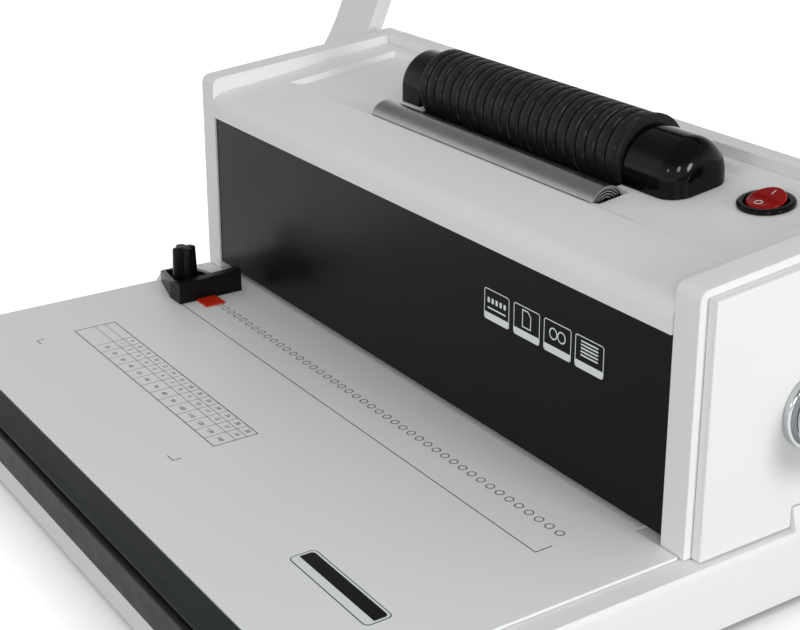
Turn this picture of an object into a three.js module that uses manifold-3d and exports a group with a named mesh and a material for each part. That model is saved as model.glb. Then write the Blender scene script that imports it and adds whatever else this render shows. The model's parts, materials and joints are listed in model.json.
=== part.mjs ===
// Coil binding machine: a hand-worked punch for 46 holes with a motor-driven coil inserter on top.
// Millimetres. x runs across the machine, y from the front to the back and z up.
// The pieces are drawn with z = 0 on the table's top, y = 0 on the hole line printed on the table
// and x = 0 in the middle of the housing. The last lines move the whole machine so that
// the origin is on the floor under the middle of its box.

import * as THREE from 'three';
import { mergeVertices } from 'three/addons/utils/BufferGeometryUtils.js';
import Module from 'manifold-3d';

const wasm = await Module();
wasm.setup();

// Clearances and cutters
const gap = 0.3;
const runningGap = 0.35;
const overrun = 2;

// Smoothness, as counts
const cornerSteps = 4;
const foldSteps = 6;
const fineSides = 28;
const roundSides = 20;
const smallSides = 14;
const pinSides = 6;

// Shares and turns
const halfShare = 0.5;
const quarterShare = 0.25;
const edgeShare = 0.3;
const quarterTurn = Math.PI / 2;
const fullTurn = Math.PI * 2;

// Paper and hole pattern, which the machine is laid out round
const paperLength = 297;
const paperSideRoom = 29.6;
const pageCentre = 9.3;
const holePitch = 6.35;
const paperWeb = 2.35;
const holeRowShift = 1.3;

// Housing, the raised part behind the table
const sidePanelFront = 26;
const sidePanelThickness = 13;
const sidePanelFrontHeight = 105.8;
const sidePanelClimb = 11.6;
const sidePanelFoot = -1;
const sidePanelCorner = 5;
const sidePanelWall = 5;
const sidePanelTopBand = 17;
const sidePanelSkin = 3;
const sideCoverThickness = 5;
const sideCoverInset = 3.6;
const sideCoverTopInset = 2.6;
const sideCoverFoot = -0.6;
const sideCoverEdge = 0.9;
const bossLead = 5.7;
const bossHeight = 8;
const bossDrop = 6;

// Base
const shoulderWidth = 8.9;
const shoulderDrop = 1.3;
const baseDepthDown = 30;
const baseCorner = 10;
const baseEdge = 2.5;
const baseEdgeShare = 0.15;
const baseWall = 3;
const baseFrontLap = 1.4;
const baseBackLap = 4;
const leftFallFront = -115;
const leftFallStep = -4;
const cheekWidth = 6;
const bottomPlateThickness = 1.2;
const footRadius = 13;
const footHeight = 4;
const footTaper = 1.5;
const footInsetX = 32;
const footInsetY = 28;

// Table and black front trim
const tableThickness = 1.5;
const tableFront = -131.4;
const tableLeftLap = 0.6;
const tableRightLap = 10.5;
const trimDrop = 0.2;
const trimDepth = 11.7;
const trimFall = 2.4;
const trimBelow = 3.4;
const trimRound = 3;

// Chip tray, the drawer under the table
const trayFrontThickness = 4;
const trayFrontProud = 1;
const trayFrontGap = 1;
const trayFrontHeight = 14.4;
const traySideRoom = 32;
const trayBackLap = 13;
const trayWall = 1.8;
const railWidth = 9;
const railInset = 12;
const railLip = 1.6;
const railLipHeight = 4;

// Black front panel over the paper slot
const slotHeight = 3.2;
const frontPanelSetback = 1;
const frontPanelDrop = 13.2;
const frontPanelThickness = 2.5;
const frontPanelReturn = 9;

// Top cover with its sunk deck
const coverWall = 2.5;
const coverLipProud = 0.5;
const coverRise = 7.7;
const coverRiseShare = 0.7;
const coverFoldDepth = 8.2;
const coverFoldShare = 0.45;
const coverFrontStep = 7.6;
const coverBackStep = 5.8;
const coverBackLip = 19;
const deckDepth = 2.8;
const deckMargin = 17.1;
const deckSideRamp = 1.5;
const deckLead = 4.8;
const deckFrontRamp = 7.5;
const deckBackMargin = 7.2;
const deckBackRamp = 2.6;

// Rear cover
const rearWall = 2.5;
const rearRimWidth = 10.8;
const rearRimLip = 8;
const rearRimStep = 0.7;
const ventCount = 7;
const ventPitch = 9;
const ventWidth = 3;
const ventHeight = 30;
const ventLow = 60;
const ventInset = 78.1;

// Punch: die, guide plate, pressure bar with its pins
const punchSetback = 26;
const frameInset = 10.1;
const framePlateThickness = 3;
const frameLead = 11;
const frameBackRoom = 20;
const frameAbove = 17.5;
const frameCorner = 14;
const frameHole = 13;
const dieDrop = 0.2;
const dieThickness = 8;
const dieLead = 8;
const dieLag = 10;
const guidePlateThickness = 9;
const guidePlateLead = 7;
const paperStopSetback = 4.5;
const pinRetreat = 1.4;
const punchStroke = 8;
const barLead = 6;
const barLag = 13.3;
const barThickness = 9;
const barStand = 9.5;
const padHeight = 3.45;
const padLength = 26;
const padWidth = 16;
const rodRadius = 3;
const rodInset = 20.7;
const rodLead = 9.7;
const rodAbove = 6;
const springRadius = 5.2;
const springWireRadius = 0.8;
const springTurns = 5;
const springSteps = 8;
const springSides = 5;

// Handle: shaft, cams, arms, crossbar and grip
const pivotSetback = 30.7;
const shaftRadius = 8;
const bushWall = 3;
const bushFlange = 2.5;
const bushFlangeThickness = 2;
const camRadius = 14;
const camThickness = 10;
const camInset = 52.7;
const handleTravel = 85 * Math.PI / 180;
const camSteps = 16;
const hubRadius = 15.8;
const hubThickness = 3.2;
const hubBore = 9.6;
const hubRound = 0.8;
const armBossReach = 4.1;
const armBossRadius = 11.7;
const armWidth = 38;
const armFootRadius = 16;
const armFootHalf = 9;
const armMidHalf = 4.4;
const armTipHalf = 4;
const armTipRadius = 13;
const armMidBack = 62.5;
const armMidRise = 65;
const armTipBack = 114.16;
const armTipRise = 186.24;
const armEdge = 1.2;
const armSteps = 10;
const armCapRadius = 12.5;
const armCapThickness = 4;
const crossbarRadius = 9;
const gripRadius = 15.5;
const gripLength = 250;
const gripRound = 4;

// Coil inserter: roller, its housings, gears, motor and coil trough
const rollerSetback = 25.3;
const rollerDrop = 4.9;
const rollerLeftRoom = 100.1;
const rollerRightRoom = 107.1;
const rollerBackRoom = 40;
const rollerRadius = 18.3;
const ribCount = 22;
const ribDepth = 1.3;
const ribGroove = 1;
const ribBevel = 0.9;
const sleeveWall = 4;
const rollerShaftRadius = 4;
const rollerShaftLeft = 11;
const rollerShaftRight = 21;
const endRingRadius = 19;
const endRingThickness = 2.6;
const archRadius = 17.2;
const archDrop = 2.1;
const archSteps = 12;
const bearingLength = 18.5;
const bearingRound = 4.4;
const domeLength = 32.6;
const domeRound = 10.5;
const domeWall = 1.8;
const domeSteps = 6;
const domeLead = 3.6;
const domeTurnShare = 0.94;
const bearingBlockThickness = 4;
const bearingBlockHalf = 10;
const bearingBlockAbove = 8;
const gearModule = 0.8;
const gearTeeth = 28;
const pinionTeeth = 14;
const gearRootShare = 1.25;
const gearWidth = 6;
const gearLash = 0.2;
const gearHoleMargin = 0.9;
const pressureTangent = Math.tan(20 * Math.PI / 180);
const idlerPinRadius = 2.5;
const gearPlateThickness = 2;
const gearPlateLead = 15;
const gearPlateLag = 17;
const gearPlateLegLag = 3;
const gearPlateLegDrop = 11.3;
const gearPlateDrop = 13.5;
const gearboxRadius = 15;
const gearboxLength = 24;
const motorRadius = 13;
const motorLength = 34;
const motorTailRadius = 5;
const motorTailLength = 5;
const pinionShaftRadius = 2.5;
const troughLead = 31.7;
const troughSink = 2.63;
const troughRadius = 9;
const troughWall = 1.6;
const troughLeg = 4.3;
const troughLeftLap = 9;
const troughRightLap = 12;
const troughSteps = 12;
const coilSlotLead = 10.3;
const coilSlotLag = 11.7;
const rollerSlotLag = 19.2;

// Cross rail and supply board inside the housing
const railDepth = 16;
const railRoom = 13.3;
const railHeight = 6;
const railSheet = 1.6;
const boardRoom = 8.6;
const boardLength = 82;
const boardHeight = 36;
const boardThickness = 1.6;
const boardInset = 8;
const boardPartDepth = 9;
const boardPartOverlap = 0.4;
const boardParts = 4;
const boardPartShare = 0.14;

// Power switch on the deck
const switchInset = 43.6;
const switchLag = 7.7;
const bezelRadius = 12.1;
const bezelHeight = 1.8;
const bezelRound = 0.8;
const switchCanRadius = 9.9;
const switchCanDepth = 17;
const switchMouthRadius = 9.4;
const switchMouthDepth = 8;
const rockerTilt = 10 * Math.PI / 180;
const rockerThickness = 1.6;
const rockerPeak = 1.8;
const rockerSkirt = 2.2;

// Power inlet on the rear cover
const inletInset = 60.1;
const inletZ = 24;
const inletWidth = 27;
const inletHeight = 20;
const inletFlange = 3;
const inletFlangeThickness = 2;
const inletBodyDepth = 18;
const inletWall = 1.6;
const inletSocketDepth = 15.5;
const inletPinLength = 10.5;
const inletPinWidth = 2;
const inletPinHeight = 4;
const inletPinPitch = 7;
const inletPinRise = 2;

// Paper edge guide at the left of the table
const guideLength = 38.5;
const guideFront = -17.5;
const guideDepth = 36;
const guideBodyDepth = 23;
const guideFence = 4.8;
const guideFrontHeight = 11;
const guideBackHeight = 12.5;
const guideLeftHeight = 5.5;
const guideCorner = 3;
const guideChamferX = 27;
const guideChamferY = 7;
const guideRim = 2.6;
const guideFloor = 3.2;
const knobInset = 18.7;
const knobY = -5;
const knobFootHalf = 6.9;
const knobTopHalf = 6.2;
const knobHeight = 20.4;
const knobWaistShare = 0.42;
const knobRound = 0.8;
const knobLobes = 4;
const knobLobeSteps = 6;
const studRadius = 2.5;
const nutHalf = 6.5;
const nutThickness = 2;
const guideTravel = 8;
const pointerLength = 15;
const pointerReach = 11;
const pointerFront = -8;
const pointerWidth = 11;
const pointerThickness = 0.7;

// Places across the machine
const housingWidth = paperLength + paperSideRoom * 2;
const housingHalf = housingWidth * halfShare;
const insideHalf = housingHalf - gap;
const sideOuter = housingHalf + sidePanelThickness;
const coverOuter = sideOuter + sideCoverThickness;
const baseHalf = sideOuter + shoulderWidth;
const frameOuter = housingHalf - frameInset;
const frameInner = frameOuter - framePlateThickness;
const frameSpan = frameInner - gap;
const frontOpening = baseHalf - cheekWidth;
const trayFrontHalf = frontOpening - gap;
const trayBodyHalf = baseHalf - baseWall - traySideRoom;
const deckHalf = housingHalf - deckMargin;
const guideFace = pageCentre - paperLength * halfShare;
const knobX = guideFace - knobInset;
const holeRowCentre = pageCentre - holeRowShift;
const holeCount = Math.floor(paperLength / holePitch);
const pinRadius = (holePitch - paperWeb) * halfShare;
const holeRadius = (pinRadius + runningGap) / Math.cos(Math.PI / pinSides);
const rodX = frameSpan - rodInset;
const camX = frameSpan - camInset;
const armBossInner = coverOuter + gap * 2 + hubThickness;
const armInner = armBossInner + armBossReach;
const armOuter = armInner + armWidth;
const switchX = housingHalf - switchInset;
const inletX = inletInset - housingHalf;
const ventCentre = housingHalf - ventInset;
const rollerLeft = rollerLeftRoom - housingHalf;
const rollerLength = housingWidth - rollerLeftRoom - rollerRightRoom;
const rollerRight = rollerLeft + rollerLength;
const domeLeft = rollerRight + domeLead;
const domeRight = domeLeft + domeLength;
const gearLeft = domeLeft + bearingBlockThickness + gap + domeLead + gearPlateThickness;
const gearRight = gearLeft + gearWidth;
const gearPlateRight = gearLeft - gap * 2;
const gearPlateLeft = gearPlateRight - gearPlateThickness;
const gearHoleLeft = gearLeft - gearHoleMargin;
const gearHoleRight = gearRight + gearHoleMargin;
const motorTail = gearPlateLeft - gap - gearboxLength - motorLength - motorTailLength;
const boardLeft = motorTail - boardRoom - boardLength;
const troughLeft = rollerLeft - troughLeftLap;
const troughRight = rollerRight + troughRightLap;
const slotLeft = troughLeft - gap;
const slotRight = troughRight + gap;

// Places from the front to the back
const panelFace = sidePanelFront + frontPanelSetback;
const coverLip = sidePanelFront - coverLipProud;
const coverFoldBack = coverLip + coverFoldDepth;
const punchLine = sidePanelFront + punchSetback;
const dieFront = punchLine - dieLead;
const dieBack = punchLine + dieLag;
const guidePlateFront = punchLine - guidePlateLead;
const barFront = punchLine - barLead;
const frameFront = punchLine - frameLead;
const pivotY = punchLine + pivotSetback;
const barBack = pivotY + barLag;
const rodY = pivotY - rodLead;
const bossFront = pivotY - bossLead;
const trayBack = dieBack + trayBackLap;
const rollerY = pivotY + rollerSetback;
const troughY = rollerY - troughLead;
const coilSlotFront = troughY - coilSlotLead;
const coilSlotBack = troughY + coilSlotLag;
const rollerSlotBack = rollerY + rollerSlotLag;
const gearPlateFront = rollerY - gearPlateLead;
const gearPlateBack = rollerY + gearPlateLag;
const gearPlateLegFront = rollerY + gearPlateLegLag;
const switchY = rollerY + switchLag;
const housingBack = rollerY + rollerBackRoom;
const coverBack = housingBack - rearRimWidth - gap;
const deckFront = troughY - deckLead;
const deckBack = coverBack - deckBackMargin;
const frameBack = housingBack - frameBackRoom;
const railBack = frameBack;
const railFront = railBack - railDepth;
const boardY = railBack - boardInset;
const baseFront = tableFront - trimDepth - baseFrontLap;
const baseBack = housingBack + baseBackLap;

// Heights, with the slopes of the top cover and of the deck sunk into it
const baseTop = -shoulderDrop;
const baseBottom = -baseDepthDown;
const bottomPlateTop = baseBottom + bottomPlateThickness;
const tableSeat = -tableThickness - gap;
const baseCeiling = tableSeat - baseWall + gap;
const dieTop = -dieDrop;
const trayTop = dieTop - dieThickness - runningGap;
const trayFrontTop = -trimDrop - trimBelow - trayFrontGap;
const trayFrontBottom = trayFrontTop - trayFrontHeight;
const guidePlateBottom = slotHeight;
const guidePlateTop = guidePlateBottom + guidePlateThickness;
const pinFoot = guidePlateBottom + pinRetreat;
const barBottom = guidePlateTop + barStand;
const barTop = barBottom + barThickness;
const padTop = barTop + padHeight;
const camRise = punchStroke / handleTravel;
const pivotZ = padTop + runningGap + camRadius;
const frameHeight = pivotZ + frameAbove;
const sidePanelBackHeight = sidePanelFrontHeight + sidePanelClimb;
const coverFrontHeight = sidePanelFrontHeight - coverFrontStep;
const coverBackHeight = sidePanelBackHeight - coverBackStep;
const coverFrontRise = coverFrontHeight - coverRise;
const frontPanelTop = coverFrontHeight - frontPanelDrop;
const rearRimHeight = sidePanelBackHeight - rearRimStep;
const coverSlope = (coverBackHeight - coverFrontHeight) / (coverBack - coverFoldBack);
const coverHeight = (y) => coverFrontHeight + (y - coverFoldBack) * coverSlope;
const deckHeight = (y) => coverHeight(y) - deckDepth;
const deckTilt = Math.atan(coverSlope);
const rollerZ = sidePanelBackHeight - rollerDrop;
const archZ = rollerZ - archDrop;
const troughZ = deckHeight(troughY) - troughSink;
const troughFoot = troughZ - troughLeg;
const gearRadius = gearModule * gearTeeth * halfShare;
const pinionRadius = gearModule * pinionTeeth * halfShare;
const idlerZ = rollerZ - gearRadius * 2;
const pinionZ = idlerZ - gearRadius - pinionRadius;
const gearPlateTop = rollerZ - gearPlateDrop;
const gearPlateLegTop = pinionZ - gearPlateLegDrop;
const railLow = pinionZ - gearboxRadius - railRoom - railHeight;
const railTop = railLow + railHeight;
const rockerHalf = switchMouthRadius - runningGap * 2;
const knobSeat = guideFloor + gap * 2;

// Middles and end places of the arms
const armMid = new THREE.Vector2(pivotY + armMidBack, pivotZ + armMidRise);
const armTip = new THREE.Vector2(pivotY + armTipBack, pivotZ + armTipRise);

const material = (color, roughness, metalness = 0) =>
  new THREE.MeshStandardMaterial({ color, roughness, metalness });

const whitePlastic = material(0xe2e3e1, 0.5);
const greyTable = material(0xc6c8c7, 0.45);
const blackPanel = material(0x242625, 0.4);
const blackPlastic = material(0x1a1b1b, 0.45);
const glossBlack = material(0x08090a, 0.12);
const blackRubber = material(0x1b1d1c, 0.75);
const footRubber = material(0x202020, 0.9);
const steel = material(0xa9adb0, 0.35, 1);
const polishedSteel = material(0xc9cccd, 0.22, 1);
const chrome = material(0xd5d8da, 0.1, 1);
const bronze = material(0xa9793f, 0.4, 1);
const zincPlate = material(0xb3b6b4, 0.5, 1);
const redPlastic = material(0xa00a0a, 0.25);
const orangePlastic = material(0xd83a16, 0.5);
const gearPlastic = material(0xe8e4d4, 0.5);
const boardGreen = material(0x2d5a3a, 0.6);

const xAxis = new THREE.Vector3(1, 0, 0);
const yAxis = new THREE.Vector3(0, 1, 0);
const zAxis = new THREE.Vector3(0, 0, 1);

// An outline drawn in (y, z) runs along x, one in (x, z) along y and one in (x, y) along z.
const along = {
  x: new THREE.Matrix4().makeBasis(yAxis, zAxis, xAxis),
  y: new THREE.Matrix4().makeBasis(xAxis, zAxis, yAxis),
  z: new THREE.Matrix4().makeBasis(xAxis, yAxis, zAxis),
};

const machine = new THREE.Group();

// A closed geometry, with shared corners, as a solid that can be cut and joined.
function solid(geometry) {
  const bare = new THREE.BufferGeometry();
  bare.setAttribute('position', geometry.getAttribute('position'));
  if (geometry.index) bare.setIndex(geometry.index);
  const shared = mergeVertices(bare);
  const corners = shared.getAttribute('position').array;
  const index = shared.index.array;
  const faces = [];
  for (let i = 0; i < index.length; i += 3) {
    const [a, b, c] = [index[i], index[i + 1], index[i + 2]];
    if (a !== b && b !== c && c !== a) faces.push([a, b, c]);
  }
  const corner = (i) => new THREE.Vector3(corners[i * 3], corners[i * 3 + 1], corners[i * 3 + 2]);
  const volume = faces.reduce((sum, [a, b, c]) => sum + corner(a).dot(corner(b).cross(corner(c))), 0);
  const outward = volume < 0 ? faces.map(([a, b, c]) => [a, c, b]) : faces;
  return new wasm.Manifold(new wasm.Mesh({
    numProp: 3,
    vertProperties: new Float32Array(corners),
    triVerts: new Uint32Array(outward.flat()),
  }));
}

// Puts a finished piece into the machine as its own named mesh.
function addPiece(name, shape, look) {
  const { vertProperties, triVerts } = shape.getMesh();
  const geometry = new THREE.BufferGeometry();
  geometry.setAttribute('position', new THREE.BufferAttribute(vertProperties, 3));
  geometry.setIndex(new THREE.BufferAttribute(triVerts, 1));
  geometry.computeVertexNormals();
  const mesh = new THREE.Mesh(geometry, look);
  mesh.name = name;
  machine.add(mesh);
}

const sideName = (side) => (side < 0 ? 'left' : 'right');

const points = (pairs) => pairs.map(([u, v]) => new THREE.Vector2(u, v));

function prism(outline, from, to, axis) {
  const low = Math.min(from, to);
  const depth = Math.abs(to - from);
  const geometry = new THREE.ExtrudeGeometry(new THREE.Shape(outline), { depth, bevelEnabled: false });
  geometry.translate(0, 0, low);
  return solid(geometry.applyMatrix4(along[axis]));
}

function block([x0, x1], [y0, y1], [z0, z1]) {
  return prism(points([[x0, y0], [x1, y0], [x1, y1], [x0, y1]]), z0, z1, 'z');
}

function circle(u, v, radius, sides = roundSides) {
  return Array.from({ length: sides }, (_, i) => {
    const angle = i / sides * fullTurn;
    return new THREE.Vector2(u + radius * Math.cos(angle), v + radius * Math.sin(angle));
  });
}

const rod = (u, v, radius, from, to, axis, sides) => prism(circle(u, v, radius, sides), from, to, axis);

// Points on an arc, both ends included.
function arc(u, v, radius, start, end, steps) {
  return Array.from({ length: steps + 1 }, (_, i) => {
    const angle = start + (end - start) * i / steps;
    return new THREE.Vector2(u + radius * Math.cos(angle), v + radius * Math.sin(angle));
  });
}

// A polygon given as [u, v, radius] corners, anticlockwise, with every corner rounded.
function rounded(corners, steps = cornerSteps) {
  return corners.flatMap(([u, v, radius], i) => {
    const here = new THREE.Vector2(u, v);
    const before = new THREE.Vector2(...corners.at(i - 1)).sub(here).normalize();
    const after = new THREE.Vector2(...corners[(i + 1) % corners.length]).sub(here).normalize();
    const half = Math.acos(before.dot(after)) * halfShare;
    if (!radius) return [here];
    const reach = radius / Math.tan(half);
    const curve = new THREE.QuadraticBezierCurve(
      here.clone().addScaledVector(before, reach), here, here.clone().addScaledVector(after, reach));
    return curve.getPoints(steps);
  });
}

// The same polygon with each side moved inwards.
function shrunk(corners, inset) {
  const normals = corners.map(([u, v], i) => {
    const [nextU, nextV] = corners[(i + 1) % corners.length];
    return new THREE.Vector2(v - nextV, nextU - u).normalize();
  });
  return corners.map(([u, v, radius], i) => {
    const first = normals.at(i - 1);
    const second = normals[i];
    const move = first.clone().add(second).multiplyScalar(inset / (1 + first.dot(second)));
    return [u + move.x, v + move.y, radius];
  });
}

// Joins closed rings of equal count into one closed skin, with a face over each end.
function loft(rings) {
  const count = rings[0].length;
  const index = [];
  for (let ring = 0; ring + 1 < rings.length; ring += 1) {
    for (let i = 0; i < count; i += 1) {
      const a = ring * count + i;
      const b = ring * count + (i + 1) % count;
      index.push(a, b, b + count, a, b + count, a + count);
    }
  }
  const cap = (ring, start, reversed) => {
    const normal = new THREE.Vector3();
    ring.forEach((point, i) => normal.add(point.clone().cross(ring[(i + 1) % count])));
    const across = ring[1].clone().sub(ring[0]).normalize();
    const up = normal.normalize().clone().cross(across);
    const flat = ring.map((point) => new THREE.Vector2(point.dot(across), point.dot(up)));
    for (const [a, b, c] of THREE.ShapeUtils.triangulateShape(flat, [])) {
      const turn = flat[b].clone().sub(flat[a]).cross(flat[c].clone().sub(flat[a]));
      const sameWay = (turn > 0) !== reversed;
      index.push(start + a, start + (sameWay ? b : c), start + (sameWay ? c : b));
    }
  };
  cap(rings[0], 0, true);
  cap(rings.at(-1), (rings.length - 1) * count, false);
  const geometry = new THREE.BufferGeometry();
  geometry.setAttribute('position', new THREE.Float32BufferAttribute(rings.flat().flatMap((p) => [...p]), 3));
  geometry.setIndex(index);
  return solid(geometry);
}

const ringAt = (outline, level, axis) =>
  outline.map((point) => new THREE.Vector3(point.x, point.y, level).applyMatrix4(along[axis]));

// A moulding: its outline is drawn again for each [level, inset] along the axis.
const moulded = (outlineFor, layers, axis) =>
  loft(layers.map(([level, inset]) => ringAt(outlineFor(inset), level, axis)));

const mouldedCorners = (corners, layers, axis) =>
  moulded((inset) => rounded(shrunk(corners, inset)), layers, axis);

// A turned piece about the x axis: the profile lists [x, radius] and ends on the axis or closes on itself.
function turned(profile, y, z, sides) {
  const geometry = new THREE.LatheGeometry(profile.map(([x, r]) => new THREE.Vector2(r, x)), sides);
  geometry.applyMatrix4(new THREE.Matrix4().makeBasis(zAxis, xAxis, yAxis));
  geometry.translate(0, y, z);
  return solid(geometry);
}

function turnedUpright(profile, x, y, sides) {
  const geometry = new THREE.LatheGeometry(profile.map(([r, z]) => new THREE.Vector2(r, z)), sides);
  geometry.applyMatrix4(new THREE.Matrix4().makeBasis(xAxis, zAxis, yAxis));
  geometry.translate(x, y, 0);
  return solid(geometry);
}

// Wedges that make the base's left side fall away beside the table and, less far, beside the housing
function leftFalls(wall) {
  const wedge = (edge, front, back) => {
    const start = edge + wall * Math.SQRT2;
    const depth = baseHalf + start + overrun;
    const high = baseTop + overrun;
    const section = points([
      [start + overrun, high], [start - depth, high], [start - depth, baseTop - depth],
    ]);
    return prism(section, front - wall, back + wall, 'y');
  };
  return wedge(-housingHalf - tableLeftLap - gap, leftFallFront, leftFallStep)
    .add(wedge(-sideOuter, leftFallStep, bossFront + gap));
}

// Base shell: a low tray open below, with a front opening for the drawer and a boss at each side
function baseShell() {
  const plan = [
    [-baseHalf, baseFront, baseCorner], [baseHalf, baseFront, baseCorner],
    [baseHalf, baseBack, baseCorner], [-baseHalf, baseBack, baseCorner],
  ];
  const layers = [
    [baseBottom, 0], [baseTop - baseEdge, 0], [baseTop - baseEdge * halfShare, baseEdge * baseEdgeShare],
    [baseTop, baseEdge * halfShare],
  ];
  const wallX = baseHalf - baseWall;
  const cavity = block([-wallX, wallX], [baseFront + baseWall, baseBack - baseWall],
    [baseBottom - overrun, baseCeiling]).subtract(leftFalls(baseWall));
  const tableBed = block([-housingHalf - tableLeftLap - gap, housingHalf + tableRightLap + gap],
    [tableFront - overrun, sidePanelFront - gap], [tableSeat, baseTop + overrun]);
  const tongueBed = block([-frameSpan, frameSpan], [sidePanelFront - overrun, dieFront],
    [tableSeat, baseTop + overrun]);
  const drawerWay = block([-frontOpening, frontOpening],
    [baseFront - overrun, tableFront - gap], [trayFrontBottom - gap * 2, baseTop + overrun]);
  const chipWay = block([-frameSpan, frameSpan], [dieFront - gap, dieBack + gap],
    [baseCeiling - overrun, baseTop + overrun]);
  const guideWay = block(
    [knobX - guideTravel - nutHalf - gap, knobX + guideTravel + nutHalf + gap],
    [knobY - nutHalf - gap, knobY + nutHalf + gap], [baseCeiling - overrun, tableSeat + overrun]);
  let shell = mouldedCorners(plan, layers, 'z').subtract(leftFalls(0));
  for (const side of [-1, 1]) {
    const section = points([
      [side * (sideOuter + gap), -bossDrop], [side * baseHalf, -bossDrop],
      [side * coverOuter, bossHeight], [side * (sideOuter + gap), bossHeight],
    ]);
    shell = shell.add(prism(section, bossFront + gap, housingBack, 'y'));
  }
  return shell.subtract(cavity).subtract(tableBed).subtract(tongueBed).subtract(drawerWay)
    .subtract(chipWay).subtract(guideWay);
}

// Bottom plate with two pressed rails that carry the drawer
function bottomPlate() {
  const wallX = baseHalf - baseWall - gap;
  const wallFront = baseFront + baseWall + gap;
  const wallBack = baseBack - baseWall - gap;
  let plate = block([-wallX, wallX], [wallFront, wallBack], [baseBottom, bottomPlateTop]);
  for (const side of [-1, 1]) {
    const inner = side * (trayBodyHalf - railInset);
    const outer = side * (trayBodyHalf + gap + railLip);
    const rail = [[inner, baseBottom], [inner + side * railWidth, baseBottom],
      [inner + side * railWidth, trayFrontBottom - gap], [inner, trayFrontBottom - gap]];
    const lip = [[outer, baseBottom], [outer - side * railLip, baseBottom],
      [outer - side * railLip, trayFrontBottom + railLipHeight], [outer, trayFrontBottom + railLipHeight]];
    for (const section of [rail, lip]) {
      plate = plate.add(prism(points(section), wallFront + railInset, trayBack, 'y'));
    }
  }
  return plate;
}

// Drawer: a shallow open box behind a full-width black front
function chipTray() {
  const faceFront = baseFront - trayFrontProud;
  const faceBack = faceFront + trayFrontThickness;
  const face = [
    [faceFront, trayFrontBottom, trayFrontProud], [faceBack, trayFrontBottom, 0],
    [faceBack, trayFrontTop, 0], [faceFront, trayFrontTop, trayFrontProud],
  ];
  const body = block([-trayBodyHalf, trayBodyHalf], [faceBack - trayFrontProud, trayBack],
    [trayFrontBottom, trayTop]);
  const hollow = block([-trayBodyHalf + trayWall, trayBodyHalf - trayWall],
    [faceBack + trayWall, trayBack - trayWall], [trayFrontBottom + trayWall, trayTop + overrun]);
  return prism(rounded(face), -trayFrontHalf, trayFrontHalf, 'x').add(body).subtract(hollow);
}

// Black trim across the front edge of the table, falling towards the drawer
function frontTrim() {
  const back = tableFront - gap;
  const front = tableFront - trimDepth;
  const section = [
    [back, -trimDrop - trimBelow, 0], [back, -trimDrop, 0],
    [front + trimRound, -trimDrop - trimFall * quarterShare, trimRound * halfShare],
    [front, -trimDrop - trimFall, 0], [front, -trimDrop - trimBelow, 0],
  ];
  return prism(rounded(section), -trayFrontHalf, trayFrontHalf, 'x');
}

// Grey table sheet with a tongue that carries the paper to the die and a slot for the guide's stud
function tablePlate() {
  const left = -housingHalf - tableLeftLap;
  const right = housingHalf + tableRightLap;
  const sheet = block([left, right], [tableFront, sidePanelFront - gap * 2], [-tableThickness, 0]);
  const tongue = block([-frameSpan + gap, frameSpan - gap],
    [sidePanelFront - overrun, dieFront - gap], [-tableThickness, 0]);
  const slotHalf = studRadius + runningGap;
  const slot = block([knobX - guideTravel - slotHalf, knobX + guideTravel + slotHalf],
    [knobY - slotHalf, knobY + slotHalf], [-tableThickness - overrun, overrun]);
  return sheet.add(tongue).subtract(slot);
}

// Black panel over the paper slot, with its lower edge turned back as a lead-in
function frontPanel() {
  const section = points([
    [panelFace, slotHeight], [panelFace + frontPanelReturn, slotHeight],
    [panelFace + frontPanelReturn, slotHeight + frontPanelThickness],
    [panelFace + frontPanelThickness, slotHeight + frontPanelThickness],
    [panelFace + frontPanelThickness, frontPanelTop], [panelFace, frontPanelTop],
  ]);
  return prism(section, -insideHalf, insideHalf, 'x');
}

// The top cover's section, moved inwards by a wall
function coverSection(inset, drop) {
  const front = coverLip + inset;
  const back = coverBack - inset;
  const lift = inset / Math.cos(deckTilt);
  const lean = coverLip + coverFoldDepth * coverFoldShare;
  const fold = new THREE.CubicBezierCurve(
    new THREE.Vector2(front, coverFrontRise - inset * halfShare),
    new THREE.Vector2(front, coverFrontRise + coverRise * coverRiseShare - inset),
    new THREE.Vector2(lean + inset * halfShare, coverHeight(lean) - lift),
    new THREE.Vector2(coverFoldBack + inset, coverHeight(coverFoldBack + inset) - lift));
  return [
    new THREE.Vector2(front, frontPanelTop + gap - drop),
    ...fold.getPoints(foldSteps),
    new THREE.Vector2(back, coverHeight(back) - lift),
    new THREE.Vector2(back, coverBackHeight - coverBackLip - drop),
  ];
}

// The pocket that sinks the deck: sloping walls on every side, wider by the margin
function deckPocket(margin, depth) {
  const ring = (ramp, drop) => {
    const half = deckHalf + margin + deckSideRamp * ramp;
    const front = deckFront - margin - deckFrontRamp * ramp;
    const back = deckBack + margin + deckBackRamp * ramp;
    return [[-half, front], [half, front], [half, back], [-half, back]]
      .map(([x, y]) => new THREE.Vector3(x, y, coverHeight(y) - drop));
  };
  return loft([ring(0, depth), ring(1, 0), ring(1, -overrun)]);
}

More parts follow.
